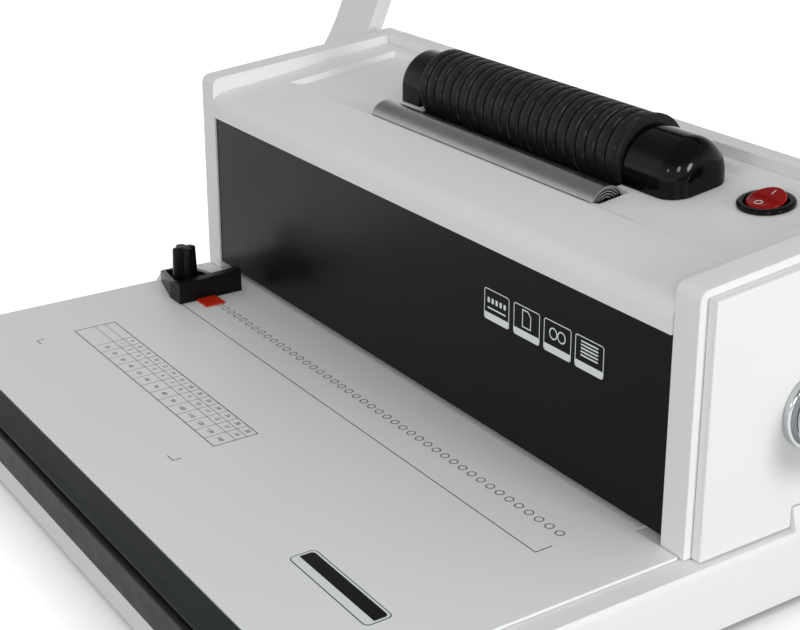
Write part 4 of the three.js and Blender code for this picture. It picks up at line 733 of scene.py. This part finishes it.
class BINDER_OT_table_print(bpy.types.Operator):
    """Prints the hole marks, the page line, the chart and the bare plate on the table"""

    bl_idname = "binder.table_print"
    bl_label = "Table print"

    def execute(self, context):
        sizes = settings().print
        rings = [printed_ring(*on_table(HOLE_PITCH * k, 0), sizes.hole_radius, sizes.hole_line)
                 for k in range(HOLE_COUNT)]
        add_piece("hole_marks", joined(rings), "table_coat", body="base", look="ink")
        start = on_table(PAGE_LINE_START, PAGE_LINE_Y)
        end = on_table(PAGE_LINE_END, PAGE_LINE_Y)
        tick = on_table(PAGE_LINE_END, PAGE_LINE_Y + PAGE_TICK)
        lines = [printed_line(start, end, sizes.line), printed_line(end, tick, sizes.line)]
        for x, y, turn in CORNER_MARKS:
            corner = on_table(x, y)
            lines.append(printed_line(corner, (corner[0] + turn * CORNER_MARK_X, corner[1]), sizes.line))
            lines.append(printed_line(corner, (corner[0], corner[1] + CORNER_MARK_Y), sizes.line))
        add_piece("page_lines", joined(lines), "table_coat", body="base", look="ink")
        self.chart(sizes)
        self.plate()
        return {"FINISHED"}

    def chart(self, sizes):
        low = on_table(CHART_X[0], CHART_Y[0])
        high = on_table(CHART_X[1], CHART_Y[1])
        unit = (high[0] - low[0]) / (CHART_COLUMNS + CHART_LABEL_COLUMNS)
        rows = [low[1] + (high[1] - low[1]) * share for share in CHART_ROW_SHARES]
        columns = [low[0] + unit * (CHART_LABEL_COLUMNS + k) for k in range(CHART_COLUMNS)]
        lines = [printed_line((x, low[1]), (x, high[1]), sizes.fine_line) for x in columns]
        lines += [printed_line((low[0], y), (high[0], y), sizes.fine_line) for y in rows[1:-1]]
        corners = [low, (high[0], low[1]), high, (low[0], high[1])]
        lines += [printed_line(corners[k - 1], corners[k], sizes.line) for k in range(4)]
        add_piece("chart_lines", joined(lines), "table_coat", body="base", look="ink")
        figures = []
        level = table_top() + PRINT_LIFT + sizes.film / 2
        for k, x in enumerate(columns):
            for row, text in enumerate((str((k + 1) * 10), str(k + 1), str((k + 2) * 2))):
                place = Matrix.Translation((x + unit / 2, (rows[row] + rows[row + 1]) / 2, level))
                figures.append(moved(number_shape(text, FIGURE_HEIGHT, sizes.film), place))
        add_piece("chart_figures", joined(figures), "table_coat", body="base", look="ink")

    def plate(self):
        """The bare plate: a dark field over a light band, in a light rim."""
        low, high = on_table(PLATE_X[0], PLATE_Y[0]), on_table(PLATE_X[1], PLATE_Y[1])
        sides = (low[0], high[0], low[1], high[1], PLATE_CORNER)
        film, line = settings().print.film, settings().print.line
        add_piece("plate_edge", flat_print(round_rectangle(*sides), film * 2), "table_coat", body="base",
                  look="ink")
        add_piece("plate_rim", flat_print(inset_rectangle(*sides, line), film * 3), "table_coat",
                  body="base", look="light_ink")
        split = low[1] + (high[1] - low[1]) * PLATE_BAND_SHARE
        inset = PLATE_RIM + line
        corner, radius = PLATE_CORNER + inset / 2, PLATE_CORNER - inset / 2
        field = [(low[0] + inset, split), (high[0] - inset, split)]
        field += arc(high[0] - corner, high[1] - corner, radius, 0, QUARTER_TURN, 6)
        field += arc(low[0] + corner, high[1] - corner, radius, QUARTER_TURN, math.pi, 6)
        add_piece("plate_field", flat_print(field, film * 4), "gloss_black", body="base")


# Signs on the black panel, in metres: left edges from the hole line's left end, and heights
SIGN_LEFTS = (199.0 * MM, 219.2 * MM, 239.0 * MM, 258.6 * MM)
SIGN_WIDTH = 17.2 * MM
SIGN_Z = (87.0 * MM, 100.9 * MM)
SIGN_CORNER = 1.3 * MM
SIGN_LINE = 0.4 * MM
SIGN_BAND = 3.2 * MM


def panel_print(outline):
    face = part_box("front_panel")[0].y - PRINT_LIFT
    return prism(outline, face - settings().print.film, face, "y")


def outline_band(outer, inner):
    """A band between two outlines of equal count, printed on the black panel."""
    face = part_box("front_panel")[0].y - PRINT_LIFT
    front = face - settings().print.film
    return loft([placed(outer, face, "y"), placed(outer, front, "y"), placed(inner, front, "y"),
                 placed(inner, face, "y")], closed=True)


class BINDER_OT_signs(bpy.types.Operator):
    """Prints four generic signs on the black panel"""

    bl_idname = "binder.signs"
    bl_label = "Panel signs"

    def execute(self, context):
        drawings = (self.hole_row, self.page, self.coil, self.stack)
        for k, (left, draw) in enumerate(zip(SIGN_LEFTS, drawings)):
            x0 = HOLE_LINE.x + left
            x1 = x0 + SIGN_WIDTH
            z0, z1 = SIGN_Z
            outer = round_rectangle(x0, x1, z0, z1, SIGN_CORNER)
            inner = inset_rectangle(x0, x1, z0, z1, SIGN_CORNER, SIGN_LINE)
            band = round_rectangle(x0 + SIGN_LINE, x1 - SIGN_LINE, z0 + SIGN_LINE, z0 + SIGN_BAND,
                                   SIGN_LINE)
            shapes = [outline_band(outer, inner), panel_print(band)]
            shapes += draw((x0 + x1) / 2, (z0 + SIGN_BAND + z1) / 2, SIGN_WIDTH)
            add_piece(f"panel_sign_{k + 1}", joined(shapes), "black_panel", body="base", look="light_ink")
        return {"FINISHED"}

    def hole_row(self, x, z, width):
        """A page edge with a row of square holes."""
        size, step, half = width * 0.09, width * 0.16, width * 0.36
        edge_low, edge_high = z - width * 0.2, z - width * 0.16
        shapes = [panel_print(round_rectangle(x - half, x + half, edge_low, edge_high, size * 0.1))]
        for k in range(5):
            centre = x + (k - 2) * step
            shapes.append(panel_print(round_rectangle(centre - size / 2, centre + size / 2,
                                                      z - size / 2, z + size, size * 0.2)))
        return shapes

    def page(self, x, z, width):
        """An upright page with a folded corner."""
        w, h, fold = width * 0.17, width * 0.23, width * 0.12
        line = SIGN_LINE * 1.3
        outer = [(x - w, z - h), (x + w, z - h), (x + w, z + h - fold), (x + w - fold, z + h),
                 (x - w, z + h)]
        inner = [(x - w + line, z - h + line), (x + w - line, z - h + line),
                 (x + w - line, z + h - fold - line / 2), (x + w - fold - line / 2, z + h - line),
                 (x - w + line, z + h - line)]
        return [outline_band(outer, inner)]

    def coil(self, x, z, width):
        """Two rings of a coil."""
        radius = width * 0.15
        line = SIGN_LINE * 1.4
        return [outline_band(circle(centre, z, radius, 24), circle(centre, z, radius - line, 24))
                for centre in (x - radius, x + radius)]

    def stack(self, x, z, width):
        """A stack of sheets."""
        half, step = width * 0.3, width * 0.085
        return [panel_print(round_rectangle(x - half, x + half, z + (k - 2) * step,
                                            z + (k - 2) * step + step * 0.45, step * 0.1)) for k in range(5)]


class BINDER_OT_roller(bpy.types.Operator):
    """Makes the ribbed rubber roller with its core and end ring"""

    bl_idname = "binder.roller"
    bl_label = "Roller"

    wall: measure("Wall", "Thickness of the rubber", 3.7 * MM)

    def execute(self, context):
        sizes = settings().roller
        low, high = axis_range("roller_sleeve", "x")
        radius = disc_radius("roller_sleeve", "x")
        pitch = (high - low) / sizes.ribs
        floor = radius - sizes.depth
        profile = [(low, radius - self.wall)]
        groove = [(0.0, floor), (0.5, floor), (0.65, radius - sizes.depth * 0.45),
                  (0.85, radius - sizes.depth * 0.12), (1.3, radius)]
        for k in range(sizes.ribs):
            start, end = low + pitch * k, low + pitch * (k + 1)
            profile += [(start + share * sizes.groove, r) for share, r in groove]
            profile += [(end - share * sizes.groove, r) for share, r in reversed(groove[1:])]
        profile += [(high, floor), (high, radius - self.wall)]
        shape = turned(profile, middle("roller_sleeve"), "x", sizes.sides, closed=True)
        add_piece("ribbed_sleeve", shape, "roller_rubber", replaces=["roller_sleeve"],
                  sharp=math.radians(50))
        self.ring(sizes)
        dress("roller_core", "steel", settings().edge.sheet)
        dress("roller_gear", "gear_plastic", settings().edge.sheet)
        return {"FINISHED"}

    def ring(self, sizes):
        low, high = axis_range("roller_end_ring", "x")
        radius = disc_radius("roller_end_ring", "x")
        edge = (high - low) * 0.35
        bore = disc_radius("roller_core", "x") * 0.32
        profile = [(low, bore), (low, radius - edge)]
        profile += [(low + edge * left, radius - edge * ahead) for left, ahead in quarter(6, 1)]
        profile += [(high - edge / 3, radius), (high, radius - edge / 3), (high, bore)]
        shape = turned(profile, middle("roller_end_ring"), "x", sizes.sides, closed=True)
        add_piece("roller_ring", shape, "black_plastic", replaces=["roller_end_ring"], look="roller_rubber")


def arch(node, inset, steps=40):
    """Arched outline in (y, z) that stands on the sloping deck, from the node's own box."""
    low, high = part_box(node)
    half = (high.y - low.y) / 2
    y, z = (high.y + low.y) / 2, high.z - half
    radius = half - inset
    front, back = y - radius, y + radius
    return [(back, deck_height(back)), *arc(y, z, radius, 0, math.pi, steps), (front, deck_height(front))]


class BINDER_OT_roller_housings(bpy.types.Operator):
    """Makes the glossy housings at both ends of the roller"""

    bl_idname = "binder.roller_housings"
    bl_label = "Roller housings"

    wall: measure("Wall", "Thickness of the dome's wall", 1.8 * MM)
    dome_round: measure("Dome round", "Radius of the dome's outer end", 10.5 * MM)
    bearing_round: measure("Bearing round", "Round of the left housing's end", 4.4 * MM)

    def execute(self, context):
        low, high = axis_range("dome_housing", "x")
        rows = [placed(arch("dome_housing", 0), low, "x")]
        for left, ahead in quarter(16):
            rows.append(placed(arch("dome_housing", self.dome_round * left),
                               high - self.dome_round * ahead, "x"))
        points, faces = sheet_of(rows)
        count = len(rows[0])
        faces.append(tuple(range((len(rows) - 1) * count, len(rows) * count)))
        dome = add_piece("dome_cover", (points, faces), "gloss_black", replaces=["dome_housing"])
        add_modifier(dome, "wall", "SOLIDIFY", thickness=self.wall, offset=-1)
        add_modifier(dome, "soft shading", "NODES", node_group=soft_shading())
        self.bearing()
        return {"FINISHED"}

    def bearing(self):
        low, high = axis_range("bearing_housing", "x")
        rings = [placed(arch("bearing_housing", self.bearing_round * ahead),
                        low + self.bearing_round * left, "x") for left, ahead in quarter(8)]
        rings.append(placed(arch("bearing_housing", 0), high, "x"))
        add_piece("bearing_cover", loft(rings), "gloss_black", replaces=["bearing_housing"])
        dress("bearing_block", "steel", settings().edge.sheet)


class BINDER_OT_trough(bpy.types.Operator):
    """Makes the bright half-round coil trough and its nested liner"""

    bl_idname = "binder.trough"
    bl_label = "Coil trough"

    wall: measure("Wall", "Thickness of the strip", 0.9 * MM)
    liner_wall: measure("Liner wall", "Thickness of a liner strip", 0.6 * MM)
    liner_step: measure("Liner step", "Distance from one strip to the next", 1.2 * MM)
    liners: IntProperty(name="Liners", description="Number of nested strips", default=4, min=1)

    def half_round(self, radius, wall, x):
        low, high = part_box("coil_trough")
        y, z = (low.y + high.y) / 2, high.z - (high.y - low.y) / 2
        outline = [(y + radius, low.z), *arc(y, z, radius, 0, math.pi, 40), (y - radius, low.z),
                   (y - radius + wall, low.z), *arc(y, z, radius - wall, math.pi, 0, 40),
                   (y + radius - wall, low.z)]
        return prism(outline, *x, "x")

    def execute(self, context):
        low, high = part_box("coil_trough")
        radius = (high.y - low.y) / 2
        add_piece("trough_strip", self.half_round(radius, self.wall, (low.x, high.x)), "polished_steel",
                  replaces=["coil_trough"])
        liners = [self.half_round(radius - self.liner_step * (k + 1), self.liner_wall,
                                  (low.x, high.x - self.wall)) for k in range(self.liners)]
        add_piece("trough_liner", joined(liners), "polished_steel", body="base")
        return {"FINISHED"}


# Edges and marks of the switch
MOUTH_EDGE = 0.3 * MM
ROCKER_EDGE = 1.1 * MM
MARK_FILM = 0.05 * MM
MARK_LINE = 0.36 * MM


def switch_place():
    """The switch's own frame: its origin on the bezel's rim, its z axis square to the deck."""
    joint = next(j for j in frame["joints"] if j["name"] == "rocker_tilt")
    return Matrix.Translation(joint["pos_m"]) @ Matrix.Rotation(DECK_TILT, 4, "X")


class BINDER_OT_switch(bpy.types.Operator):
    """Makes the round power switch: bezel, rocker and its two marks"""

    bl_idname = "binder.switch"
    bl_label = "Power switch"

    can_radius: measure("Can", "Radius of the can", 9.9 * MM)
    can_depth: measure("Can depth", "Depth of the can", 18.8 * MM)
    mouth: measure("Mouth", "Radius of the mouth", 9.4 * MM)
    mouth_depth: measure("Mouth depth", "Depth of the mouth", 8 * MM)
    bezel: measure("Bezel", "Height of the bezel", 1.8 * MM)
    rocker: measure("Rocker", "Radius of the rocker", 8.4 * MM)
    crown: measure("Crown", "Height of the rocker's ends over its middle", 0.9 * MM)
    rise: measure("Rise", "Height of the rocker's middle over the rim", 0.8 * MM)
    skirt: measure("Skirt", "Depth of the rocker's skirt", 1.2 * MM)
    tilt: FloatProperty(name="Tilt", description="Lean of the rocker at rest", subtype="ANGLE",
                        default=math.radians(10))

    def execute(self, context):
        low, high = axis_range("switch_body", "x")
        radius = (high - low) / 2
        top, fall, reach = self.bezel, self.bezel * 0.55, self.bezel * 0.7
        profile = [(-self.can_depth, 0.0), (-self.can_depth, self.can_radius), (-top, self.can_radius),
                   (-top, radius), (-fall, radius)]
        profile += [(-fall * ahead, radius - reach * left) for left, ahead in quarter(6, 1)]
        profile += [(0.0, self.mouth + MOUTH_EDGE), (-MOUTH_EDGE, self.mouth),
                    (-self.mouth_depth, self.mouth), (-self.mouth_depth, 0.0)]
        place = switch_place()
        body = moved(turned(profile, (0, 0, 0), "z", settings().roller.sides), place)
        add_piece("switch_bezel", body, "gloss_black", replaces=["switch_body"])
        tipped = place @ Matrix.Rotation(self.tilt, 4, "X")
        add_piece("rocker_button", moved(self.rocker_shape(), tipped), "red_plastic",
                  replaces=["switch_rocker"])
        self.marks(tipped)
        return {"FINISHED"}

    def height(self, y):
        """Height of the rocker's top at y, before it leans."""
        return self.rise + self.crown * (y / self.rocker) ** 2

    def rocker_shape(self):
        sides = settings().roller.sides
        unit = circle(0, 0, 1, sides)
        foot = self.rocker * 0.55
        rings = [[Vector((foot * c, foot * s, -self.skirt)) for c, s in unit],
                 [Vector((self.rocker * c, self.rocker * s, 0)) for c, s in unit]]
        places = [(1 - ROCKER_EDGE / self.rocker * left, ROCKER_EDGE * ahead) for left, ahead in quarter(5)]
        places += [(share, 0.0) for share in (0.72, 0.54, 0.36, 0.18)]
        for share, drop in places:
            reach = self.rocker * share
            rings.append([Vector((reach * c, reach * s, self.height(reach * s) - drop)) for c, s in unit])
        rings.append([Vector((0, 0, self.height(0)))] * sides)
        points, faces = loft(rings, caps=False)
        faces.append(tuple(range(sides)))
        return points, faces

    def marks(self, place):
        """O on the pressed front and I on the raised back, as thin prints that follow the top."""
        def over(points):
            low = [Vector((x, y, self.height(y) + PRINT_LIFT)) for x, y in points]
            return low, [point + Z_AXIS * MARK_FILM for point in low]

        ring_y, radius = -self.rocker * 0.5, self.rocker * 0.2
        outer = over(circle(0, ring_y, radius, 32))
        inner = over(circle(0, ring_y, radius - MARK_LINE, 32))
        ring = loft([outer[0], outer[1], inner[1], inner[0]], closed=True)
        steps = 6
        start, end = self.rocker * 0.38, self.rocker * 0.7
        left = [(-MARK_LINE / 2, start + (end - start) * k / steps) for k in range(steps + 1)]
        right = [(MARK_LINE / 2, y) for _, y in left]
        (left_low, left_high), (right_low, right_high) = over(left), over(right)
        strip = loft([list(row) for row in zip(left_low, right_low, right_high, left_high)])
        add_piece("rocker_marks", moved(joined([ring, strip]), place), "red_plastic", body="rocker",
                  look="light_ink")


# Foot of the guide's knob: its edge, where its lobes begin, and how far the stud enters it
KNOB_EDGE = 0.4 * MM
KNOB_START = 0.8 * MM
STUD_REACH = 0.5 * MM


class BINDER_OT_edge_guide(bpy.types.Operator):
    """Finishes the paper edge guide and makes its lobed knob"""

    bl_idname = "binder.edge_guide"
    bl_label = "Edge guide"

    lobes: IntProperty(name="Lobes", description="Lobes of the knob", default=4)
    waist: measure("Waist", "How far the knob draws in between its lobes, as a share", 0.42, "NONE")
    stud: measure("Stud", "Radius of the stud", 2.5 * MM)
    seat: measure("Seat", "Height of the knob's foot", 37.8 * MM)
    foot: measure("Foot", "Reach of a lobe at the foot", 6.9 * MM)
    top: measure("Top", "Reach of a lobe at the top", 6.2 * MM)
    dome: measure("Dome", "Height of the rounded top", 0.9 * MM)

    def execute(self, context):
        dress("guide_block", "black_plastic", settings().edge.small, look="guide_plastic")
        dress("guide_pointer", "orange_plastic", 0.0)
        dress("guide_nut", "zinc_plate", settings().edge.sheet)
        low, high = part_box("guide_knob")
        centre = middle("guide_knob")
        start, shoulder = self.seat + KNOB_START, high.z - self.dome
        layers = [(self.seat, self.foot - KNOB_EDGE), (self.seat + KNOB_EDGE, self.foot)]
        layers += [(start + (shoulder - start) * share, self.foot + (self.top - self.foot) * share)
                   for share in (k / 6 for k in range(7))]
        layers += [(shoulder + self.dome * (1 - ahead), self.top * (1 - 0.65 * left))
                   for left, ahead in quarter(6, 1)]
        rings = [[centre + self.outline(angle, half) - Z_AXIS * (centre.z - z)
                  for angle in (k / 96 * FULL_TURN for k in range(96))] for z, half in layers]
        grip = loft(rings)
        stud_top = self.seat + STUD_REACH
        stud = turned([(low.z, 0.0), (low.z, self.stud), (stud_top, self.stud), (stud_top, 0.0)],
                      centre, "z", 32)
        add_piece("clamp_knob", joined([grip, stud]), "black_plastic", replaces=["guide_knob"],
                  look="guide_plastic")
        return {"FINISHED"}

    def outline(self, angle, half):
        swell = math.cos(angle * self.lobes) / 2 + 0.5
        radius = half * (1 - self.waist * (1 - swell) ** 2)
        return Vector((radius * math.cos(angle), radius * math.sin(angle), 0))


class BINDER_OT_handle(bpy.types.Operator):
    """Finishes the handle: hub rings, arms, caps, crossbar and grip"""

    bl_idname = "binder.handle"
    bl_label = "Handle"

    hub_bore: measure("Hub bore", "Bore of the chrome ring", 9.6 * MM)
    grip_round: measure("Grip round", "Round of the grip's ends", 4 * MM)
    grip_bore: measure("Grip bore", "Bore of the grip", 9.3 * MM)

    def execute(self, context):
        sides = settings().roller.sides
        for side in ("left", "right"):
            dress("arm_" + side, "arm_plastic", settings().edge.small)
            self.hub(side, sides)
            self.cap(side, sides)
        round_bar("crossbar_rod", "crossbar", "x", "steel", 0.6 * MM)
        self.grip(sides)
        return {"FINISHED"}

    def rim(self, node, side, share):
        """Inner and outer end, rounding and outer outline of a disc whose outer edge is rounded."""
        low, high = axis_range(node, "x")
        edge = (high - low) * share
        inner, outer = (high, low) if side == "left" else (low, high)
        inward = edge if side == "left" else -edge
        radius = disc_radius(node, "x")
        outline = [(inner, radius), (outer + inward, radius)]
        outline += [(outer + inward * ahead, radius - edge * left) for left, ahead in quarter(8, 1)]
        return inner, outer, inward, outline

    def hub(self, side, sides):
        node = "hub_ring_" + side
        inner, outer, inward, outline = self.rim(node, side, 0.45)
        profile = [(inner, self.hub_bore), *outline, (outer, self.hub_bore + abs(inward) / 2),
                   (outer + inward / 2, self.hub_bore)]
        shape = turned(profile, middle(node), "x", sides, closed=True)
        add_piece("chrome_ring_" + side, shape, "chrome", replaces=[node])

    def cap(self, side, sides):
        node = "arm_cap_" + side
        inner, outer, _, outline = self.rim(node, side, 0.6)
        shape = turned([(inner, 0.0), *outline, (outer, 0.0)], middle(node), "x", sides)
        add_piece("pivot_cap_" + side, shape, "chrome", replaces=[node])

    def grip(self, sides):
        low, high = axis_range("handle_grip", "x")
        radius = disc_radius("handle_grip", "x")
        edge = self.grip_round
        profile = [(low, self.grip_bore), (low, radius - edge)]
        profile += [(low + edge * left, radius - edge * ahead) for left, ahead in quarter(8, 1)]
        mirrored = [(low + high - x, r) for x, r in reversed(profile)]
        shape = turned(profile + mirrored, middle("handle_grip"), "x", sides, closed=True)
        add_piece("grip_sleeve", shape, "roller_rubber", replaces=["handle_grip"], look="grip_rubber")


class BINDER_OT_punch(bpy.types.Operator):
    """Finishes the punch works inside the housing"""

    bl_idname = "binder.punch"
    bl_label = "Punch works"

    wire: measure("Wire", "Radius of the spring's wire", 0.8 * MM)
    turns: IntProperty(name="Turns", description="Turns of a spring", default=5)
    steps: IntProperty(name="Steps", description="Steps in a turn of a spring", default=28)

    def execute(self, context):
        sheet = settings().edge.sheet
        for name in ("die_bar", "pin_guide_bar", "paper_stop", "punch_bar"):
            dress(name, "steel")
        for side in ("left", "right"):
            dress("frame_plate_" + side, "zinc_plate", sheet)
            dress("shaft_bush_" + side, "bronze")
            dress("cam_" + side, "steel", sheet)
            self.spring(side)
            round_bar("rod_" + side, "guide_rod_" + side, "z", "steel", 0.5 * MM)
        round_bar("pivot_shaft", "handle_shaft", "x", "steel", 0.6 * MM)
        return {"FINISHED"}

    def spring(self, side):
        """A wound wire in the place of the return spring, its turns evenly spaced through the spring node's
        box.
        """
        node = "return_spring_" + side
        low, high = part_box(node)
        centre = middle(node)
        coil = disc_radius(node, "z") - self.wire
        rise = high.z - low.z - 2 * self.wire
        count = self.turns * self.steps
        rings = []
        for k in range(count + 1):
            angle = k / self.steps * FULL_TURN
            outward = Vector((math.cos(angle), math.sin(angle), 0))
            heart = Vector((centre.x, centre.y, low.z + self.wire + rise * k / count)) + outward * coil
            rings.append([heart + outward * u + Z_AXIS * v for u, v in circle(0, 0, self.wire, 10)])
        piece = add_piece("spring_" + side, loft(rings), "steel", replaces=[node])
        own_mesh(piece)


class BINDER_OT_drive(bpy.types.Operator):
    """Finishes the roller's drive and the supply board"""

    bl_idname = "binder.drive"
    bl_label = "Roller drive"

    def execute(self, context):
        sheet = settings().edge.sheet
        dress("idler_gear", "gear_plastic", sheet)
        dress("motor_pinion", "steel")
        dress("gear_motor", "steel")
        dress("gear_plate", "zinc_plate", sheet)
        dress("cross_rail", "zinc_plate", sheet)
        dress("supply_board", "board", sheet)
        return {"FINISHED"}


class BINDER_OT_underside(bpy.types.Operator):
    """Finishes the feet and the mains inlet"""

    bl_idname = "binder.underside"
    bl_label = "Feet and inlet"

    def execute(self, context):
        dress("power_inlet", "black_plastic", settings().edge.sheet)
        for row in ("front", "rear"):
            for side in ("left", "right"):
                self.foot(f"foot_{row}_{side}")
        return {"FINISHED"}

    def foot(self, node):
        low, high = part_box(node)
        radius = disc_radius(node, "z")
        height = high.z - low.z
        profile = [(low.z, 0.0), (low.z, radius * 0.82), (low.z + height * 0.15, radius * 0.88),
                   (low.z + height * 0.8, radius * 0.98), (high.z, radius), (high.z, 0.0)]
        shape = turned(profile, middle(node), "z", settings().roller.sides // 2)
        add_piece("rubber_" + node, shape, "foot_rubber", replaces=[node])


# Places of the lamps and the point they shine at
KEY_PLACE = (1.6, -1.15, 0.82)
SIDE_PLACE = (1.9, 0.2, 0.5)
SPARK_PLACE = (0.2, -1.95, 0.7)
LAMP_TARGET = Vector((0, 0, 0.1))


class BINDER_OT_stage(bpy.types.Operator):
    """Sets the camera, the lights, the even light all round and the floor"""

    bl_idname = "binder.stage"
    bl_label = "Stage"

    floor_size: measure("Floor size", "Half the width of the floor", 6.0)
    ceiling_span: FloatVectorProperty(name="Ceiling span", size=2, default=(0.2, 0.6),
                                      description="Upward shares where the ceiling begins and is full")

    def execute(self, context):
        stage = settings().stage
        self.camera(context, stage)
        self.light("key_light", KEY_PLACE, stage.lamp, stage.key)
        self.light("side_light", SIDE_PLACE, stage.lamp, stage.side)
        self.light("spark_light", SPARK_PLACE, stage.spark_size, stage.spark)
        self.world(context, stage)
        self.floor(stage)
        context.scene.view_settings.view_transform = "Standard"
        return {"FINISHED"}

    def camera(self, context, stage):
        data = bpy.data.cameras.new("photo_camera")
        data.lens = stage.lens
        data.shift_x = stage.shift_x
        data.shift_y = stage.shift_y
        data.clip_start = 0.02
        data.clip_end = 50
        context.scene.camera = self.set_up(data, stage.camera, stage.heading)

    def set_up(self, data, place, heading):
        """Puts a camera or a lamp in its place, facing along a direction."""
        holder = bpy.data.objects.new(data.name, data)
        holder.location = place
        holder.rotation_mode = "QUATERNION"
        holder.rotation_quaternion = Vector(heading).to_track_quat("-Z", "Y")
        bpy.context.scene.collection.objects.link(holder)
        return holder

    def light(self, name, place, size, power):
        data = bpy.data.lights.new(name, "AREA")
        data.shape = "DISK"
        data.size = size
        data.energy = power
        self.set_up(data, place, LAMP_TARGET - Vector(place))

    def world(self, context, stage):
        """Even light on the machine, white where it is seen past, a dim ceiling in gloss and metal."""
        world = bpy.data.worlds.new("studio")
        world.use_nodes = True
        tree = world.node_tree
        background = tree.nodes["Background"]
        background.inputs["Color"].default_value = (1, 1, 1, 1)
        seen, path = self.where_seen(tree, background.inputs["Strength"], stage.fill, 1.0)
        direction = add_node(tree, "TexCoord", {})
        height = add_node(tree, "SeparateXYZ", {"Vector": direction.outputs["Generated"]})
        low, high = self.ceiling_span
        ceiling = add_node(tree, "MapRange", {
            "Value": height.outputs["Z"], "From Min": low, "From Max": high, "To Min": 1.0,
            "To Max": stage.ceiling}, interpolation_type="SMOOTHSTEP")
        shown = add_node(tree, "Mix", {"Factor": path.outputs["Is Glossy Ray"], "A": 1.0,
                                       "B": ceiling.outputs["Result"]})
        tree.links.new(shown.outputs["Result"], seen.inputs["To Max"])
        context.scene.world = world

    def where_seen(self, tree, socket, unseen, seen):
        """Gives a strength one value where the camera, gloss or glass sees it, and another elsewhere."""
        path = add_node(tree, "LightPath", {})
        either = path.outputs["Is Camera Ray"]
        for name in ("Is Glossy Ray", "Is Transmission Ray"):
            larger = add_node(tree, "Math", {0: either, 1: path.outputs[name]}, operation="MAXIMUM")
            either = larger.outputs[0]
        strength = add_node(tree, "MapRange", {"Value": either, "To Min": unseen, "To Max": seen})
        tree.links.new(strength.outputs["Result"], socket)
        return strength, path

    def floor(self, stage):
        """Pale floor that keeps the shadow, with painted shade at the machine's foot, and melts into the
        white beyond.
        """
        half = self.floor_size
        mesh = bpy.data.meshes.new("floor")
        mesh.from_pydata([(-half, -half, 0), (half, -half, 0), (half, half, 0), (-half, half, 0)], [],
                         [(0, 1, 2, 3)])
        material = bpy.data.materials.new("floor")
        material.use_nodes = True
        tree = material.node_tree
        shader = tree.nodes["Principled BSDF"]
        shader.inputs["Base Color"].default_value = (*stage.floor, 1)
        shader.inputs["Roughness"].default_value = 0.9
        shader.inputs["Specular IOR Level"].default_value = 0.0
        # Ambient occlusion darkens the floor's white glow near the machine: painted shade
        shade = add_node(tree, "AmbientOcclusion", {"Distance": stage.shade})
        tree.links.new(shade.outputs["Color"], shader.inputs["Emission Color"])
        self.where_seen(tree, shader.inputs["Emission Strength"], 0.0, stage.lift)
        mesh.materials.append(material)
        floor = bpy.data.objects.new("floor", mesh)
        bpy.context.scene.collection.objects.link(floor)


class BINDER_PT_panel(bpy.types.Panel):
    """Lists the machine's steps"""

    bl_label = "Coil Binding Machine"
    bl_idname = "BINDER_PT_panel"
    bl_space_type = "VIEW_3D"
    bl_region_type = "UI"
    bl_category = "Binder"

    def draw(self, context):
        for operator in OPERATORS:
            self.layout.operator(operator.bl_idname)


OPERATORS = (
    BINDER_OT_stage, BINDER_OT_housing, BINDER_OT_table, BINDER_OT_table_print, BINDER_OT_signs,
    BINDER_OT_roller, BINDER_OT_roller_housings, BINDER_OT_trough, BINDER_OT_switch,
    BINDER_OT_edge_guide, BINDER_OT_handle, BINDER_OT_punch, BINDER_OT_drive, BINDER_OT_underside,
)
CLASSES = (
    FinishSettings, EdgeSettings, PrintSettings, RollerSettings, StageSettings, BinderSettings,
    *OPERATORS, BINDER_PT_panel,
)


def register():
    for cls in CLASSES:
        bpy.utils.register_class(cls)
    bpy.types.Scene.binder = PointerProperty(type=BinderSettings)


def unregister():
    del bpy.types.Scene.binder
    for cls in reversed(CLASSES):
        bpy.utils.unregister_class(cls)


def main():
    register()
    for operator in OPERATORS:
        group, name = operator.bl_idname.split(".")
        getattr(getattr(bpy.ops, group), name)()


if __name__ == "__main__":
    main()
